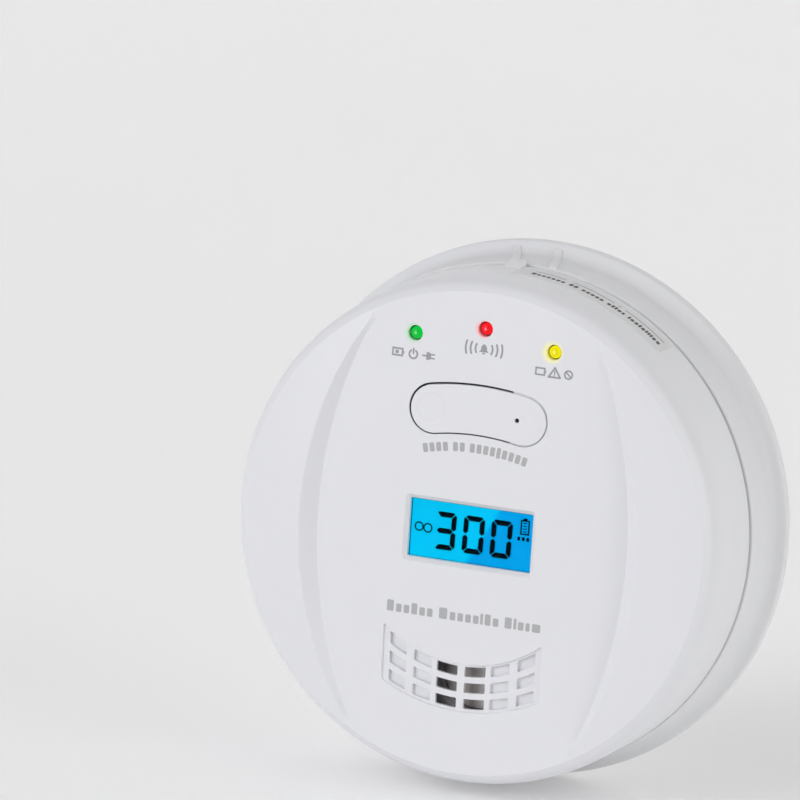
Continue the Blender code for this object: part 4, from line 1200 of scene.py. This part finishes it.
def power_marks(x, y):
    """A battery, a power sign and a plug."""
    outlines = ring_with_gap((x, y - 0.05), 0.95, 0.42, 125, 415)
    outlines.append(bar((x, y + 0.15), (x, y + 1.15), 0.42))
    outlines += box_stroke((x - 3.75, y), (1.15, 0.75), 0.4)
    outlines.append(bar((x - 2.45, y), (x - 2.2, y), 0.7, False))
    outlines.append(bar((x - 4.3, y), (x - 3.5, y), 0.75, False))
    outlines.append(bar((x + 2.3, y), (x + 3.1, y), 0.4))
    plug = [(3.1, -0.85), (3.75, -0.85), (4.25, -0.5), (4.25, 0.5), (3.75, 0.85), (3.1, 0.85)]
    outlines.append([(x + u, y + v) for u, v in plug])
    for side in (-1, 1):
        outlines.append(bar((x + 4.25, y + side * 0.42), (x + 5.0, y + side * 0.42), 0.34))
    return outlines


def alarm_marks(x, y):
    """A bell between sound waves."""
    bell = [(-1.15, -0.72), (-0.72, -0.3), (-0.66, 0.4), (-0.3, 0.92)]
    bell += [(0, 1.08)] + [(-u, v) for u, v in bell[::-1]]
    outlines = [[(x + u, y + v) for u, v in bell], bar((x - 0.2, y - 1.0), (x + 0.2, y - 1.0), 0.34)]
    for middle in (0, 180):
        for radius in (2.0, 3.15, 4.3):
            reach = 36 - 4 * radius
            outlines += ring_with_gap((x, y), radius, 0.44, middle - reach, middle + reach)
    return outlines


def fault_marks(x, y):
    """A battery, a warning triangle and a crossed ring."""
    corners = [(x, y + 1.12), (x - 1.35, y - 1.0), (x + 1.35, y - 1.0)]
    outlines = [bar(corners[k], corners[(k + 1) % 3], 0.40) for k in range(3)]
    outlines.append(bar((x, y + 0.35), (x, y - 0.25), 0.3))
    outlines.append(bar((x, y - 0.62), (x, y - 0.64), 0.3))
    outlines += box_stroke((x - 3.35, y - 0.05), (1.0, 0.72), 0.38)
    outlines.append(bar((x - 2.2, y - 0.05), (x - 1.98, y - 0.05), 0.62, False))
    outlines += annulus((x + 3.2, y - 0.05), 0.88, 0.38)
    outlines.append(bar((x + 2.62, y + 0.5), (x + 3.78, y - 0.6), 0.34))
    return outlines


def text_blocks():
    """Blocks for the straight line under the display and the curved one under the button."""
    blocks = []
    low = -19.35
    for middle, half, height in word_blocks(TITLE, -18.5, 18.45):
        blocks.append(rounded_box((middle, low + height / 2), (half, height / 2), min(0.3, half * 0.9), 4))
    centre_y, radius = BUTTON_Y - BUTTON_ARC, 49.15
    for middle, half, height in word_blocks(HINT, -12.55, 12.55):
        tilt = -middle / radius
        flat = rounded_box((0, 0), (half, height / 2), min(0.3, half * 0.9), 4)
        spin = np.array([[cos(tilt), sin(tilt)], [-sin(tilt), cos(tilt)]])
        blocks.append(flat @ spin + (radius * sin(-tilt), centre_y + radius * cos(tilt)))
    return blocks


def printed_marks():
    """Plain pictograms and blocks in the places of the printed lines, as ink on the face."""
    outlines = power_marks(-16.35, 38.25) + alarm_marks(0.1, 41.55) + fault_marks(16.9, 38.5)
    shell = Shell()
    levels = [lambda u, v: face_z(u, v) - 0.02, lambda u, v: face_z(u, v) + 0.012]
    for slot, group in enumerate((outlines, text_blocks())):
        for outline in group:
            prism(shell, outline, *levels, slot)
    inks = [print_ink("grey_print", PRINT), print_ink("light_grey_print", BLOCK_PRINT)]
    marks = shell.build("face_print", inks, "alarm_body", smooth=30)


def ring_with_gap(centre, radius, width, start, end):
    """An arc stroke with round ends."""
    outer = arc(centre, radius + width / 2, start, end, 28)
    inner = arc(centre, radius - width / 2, end, start, 28)
    caps = []
    for angle, turn in ((end, 0), (start, 180)):
        tip = arc(centre, radius, angle, angle, 1)[0]
        caps.append(arc(tip, width / 2, angle + turn, angle + turn + 180, 7)[1:-1])
    return [np.concatenate([outer, caps[0], inner, caps[1]])]


def label_x(angle):
    """Millimetres along the cover's side to an angle in degrees, from the label's middle."""
    return radians(LABEL_ANGLE - angle) * SIDE_R


def side_patch(shell, outline, inner, outer):
    """A thin piece on the cover's side, from an outline of (mm along the side, height)."""
    outline = anticlockwise(outline)
    grid = np.array([(u, v) for u in np.arange(-22, 22, 0.8) for v in (18.6, 20.5, 22.3, 24.2, 26.0)])
    points, faces = filled(outline, grid[distance_to(grid, outline) < -0.3])

    def wrapped(flat, radius):
        angles = np.radians(LABEL_ANGLE - np.degrees(flat[:, 0] / SIDE_R))
        return np.column_stack([radius * np.cos(angles), radius * np.sin(angles), flat[:, 1]])

    shell.add(wrapped(points, inner), faces)
    shell.add(wrapped(points, outer), faces)
    shell.rings([wrapped(outline, inner), wrapped(outline, outer)])


def side_label():
    """A sticker on the cover's side with blocks for its line of print, and a broken rule under it."""
    strip = Shell()
    start, end = label_x(90.2), label_x(50.5)
    place, half = (start + end) / 2, (end - start) / 2
    side_patch(strip, spaced(rounded_box((place, 22.3), (half, 4.2), 0.8), 0.9), 56.5, SIDE_R)
    paper = plastic("label_paper", (0.70, 0.70, 0.71), rough=(0.42, 0.55), grain=0.00001, grain_scale=2500.0)
    strip = strip.build("side_sticker", [paper], "alarm_body")
    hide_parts("side_label")
    ink = Shell()
    for middle, size, height in word_blocks(SIDE_LINE, label_x(86.4), label_x(52.1)):
        box = rounded_box((middle, 23.9 - height / 2), (size, height / 2), min(0.22, size * 0.9), 3)
        side_patch(ink, box, *INK_R)
    for first, last in ((85.9, 79.0), (77.0, 66.5), (65.4, 64.6), (63.6, 52.2)):
        rule = bar((label_x(first), 20.5), (label_x(last), 20.5), 0.2, False)
        side_patch(ink, spaced(rule, 0.9), *INK_R)
    finish = print_ink("dark_print", (0.10, 0.10, 0.105))
    ink = ink.build("side_sticker_print", [finish], "alarm_body", smooth=30)


# ---------------------------------------------------------------- carried-over nodes

def finish_nodes():
    """Materials for the CAD nodes that are shown as they are."""
    dark = (0.028, 0.028, 0.032)
    spacers = tuple(f"led_spacer_{name}" for name in LEDS)
    screws = ("housing_screw_1", "housing_screw_2", "housing_screw_3", "board_screw_1", "board_screw_2")
    finishes = {
        ("rear_housing",): plastic("housing_plastic", SHELL),
        ("battery_door",): plastic("door_plastic", SHELL),
        ("battery_cell_upper", "battery_cell_lower"): jacket_material(),
        ("battery_spring_upper", "battery_spring_lower"): metal("spring_steel", (0.62, 0.62, 0.64)),
        ("link_contact", "terminal_negative", "terminal_positive"):
            metal("contact_steel", (0.66, 0.65, 0.62), stretch=(1, 1, 12)),
        ("battery_wire_black",): rubber("black_insulation", (0.015, 0.015, 0.015)),
        ("battery_wire_red",): rubber("red_insulation", (0.55, 0.015, 0.012)),
        ("display_backlight",): plastic("light_guide", (0.82, 0.9, 0.93), rough=(0.2, 0.35)),
        ("display_connector_upper", "display_connector_lower"):
            rubber("striped_elastomer", (0.05, 0.05, 0.06)),
        ("display_holder", *spacers): plastic("holder_plastic", dark),
        ("circuit_board",): board_material(),
        ("co_sensor_cell",): metal("sensor_steel", (0.64, 0.64, 0.66), stretch=(1, 10, 1)),
        ("co_sensor_filter",): plastic("filter_cap_plastic", dark),
        ("test_switch",): plastic("switch_plastic", dark),
        ("switch_plunger",): plastic("plunger_plastic", (0.3, 0.02, 0.02)),
        ("microcontroller",): plastic("chip_resin", (0.018, 0.018, 0.02), rough=(0.5, 0.65)),
        ("inductor",): rubber("ferrite", (0.05, 0.048, 0.046)),
        ("reservoir_capacitor",): metal("capacitor_can", (0.68, 0.68, 0.7)),
        screws: metal("screw_zinc", (0.66, 0.66, 0.66)),
    }
    by_name = {name: finish for names, finish in finishes.items() for name in names}
    for name, obj in NODES.items():
        if not obj.hide_render:
            obj.data.materials.clear()
            obj.data.materials.append(by_name[name])


# ---------------------------------------------------------------- stage, light and camera

def stage():
    """A pale floor that curves up into a backdrop, which a camera behind the alarm stands inside."""
    shell = Shell()
    low = CAD_BOX[0].z / MM
    half_width, front, back, bend, height = 7800.0, 5400.0, -4500.0, 2100.0, 7800.0
    line = [(front, low), (0.0, low)]
    line += [(back - bend * sin(radians(a)), low + bend * (1 - cos(radians(a)))) for a in range(0, 91, 6)]
    line.append((back - bend, low + height))
    rings = [[(x, h, depth) for x in np.linspace(-half_width, half_width, 9)] for depth, h in line]
    shell.rings(rings, closed=False)
    look = Look("pale_floor")
    material = look.shade(
        Base_Color=look.tinted(look.noise(4.0), (0.92, 0.92, 0.92), (0.95, 0.95, 0.95)), Roughness=0.7,
        Specular_IOR_Level=0.2, Emission_Color=(1, 1, 1, 1), Emission_Strength=0.095,
    )
    shell.build("studio_floor", [material], None)


# Softboxes far from the object: direction, how narrow, radiance and colour.
KEY_COLOUR = (0.975, 0.975, 1.0)
SIDE_COLOUR = (1.0, 1.0, 0.985)
SOFTBOXES = [
    ((-1.0, -1.7, 0.75), 24, 6.2, KEY_COLOUR),
    ((-0.5, -1.7, 1.2), 24, 0.65, KEY_COLOUR),
    ((-1, 0, 0), 2, 0.50, KEY_COLOUR),
    ((0, 0, 1), 2, 0.52, SIDE_COLOUR),
    ((1.8, -0.65, 0.3), 24, 4.6, SIDE_COLOUR),
    ((1.8, 0.4, 0.6), 24, 2.0, SIDE_COLOUR),
]


def lighting():
    """Plain studio light: broad soft lights at the front left and above, and dimmer ones at the right."""
    world = bpy.data.worlds.new("studio")
    world.use_nodes = True
    tree = world.node_tree
    place = put(tree, "TexCoord", {}).outputs["Generated"]
    lights = []
    for direction, narrow, radiance, colour in SOFTBOXES:
        toward = {0: place, 1: Vector(direction).normalized()}
        strength = put(tree, "VectorMath", toward, operation="DOT_PRODUCT").outputs["Value"]
        for operation, number in (("MAXIMUM", 0.0), ("POWER", narrow)):
            strength = put(tree, "Math", {0: strength, 1: number}, operation=operation).outputs["Value"]
        colour = [c * radiance for c in colour]
        light = put(tree, "VectorMath", {0: colour, "Scale": strength}, operation="SCALE")
        lights.append(light.outputs["Vector"])
    feed(tree, tree.nodes["Background"].inputs["Color"], added(tree, lights))
    bpy.context.scene.world = world


def camera():
    right = Vector((0.92412, 0.37615, 0.06722))
    up = Vector((-0.13445, 0.15542, 0.97866))
    back = Vector((0.35767, -0.91343, 0.19420))
    data = bpy.data.cameras.new("photo_camera")
    data.sensor_width = 36.0
    data.lens = 517.9
    data.clip_start, data.clip_end = 0.1, 20.0
    obj = bpy.data.objects.new("photo_camera", data)
    obj.matrix_world = Matrix.Translation((0.8828, -2.3032 - FACE_Z * MM, 0.5171)) @ Matrix((
        (right.x, up.x, back.x, 0), (right.y, up.y, back.y, 0), (right.z, up.z, back.z, 0), (0, 0, 0, 1),
    ))
    bpy.context.scene.collection.objects.link(obj)
    bpy.context.scene.camera = obj


front_cover()
alignment_nub()
test_button()
mounting_plate()
alignment_ribs()
display_lens()
display_glass()
display_segments()
lamps()
buzzer()
printed_marks()
side_label()
finish_nodes()
stage()
lighting()
camera()
bpy.context.scene.view_settings.view_transform = "Standard"
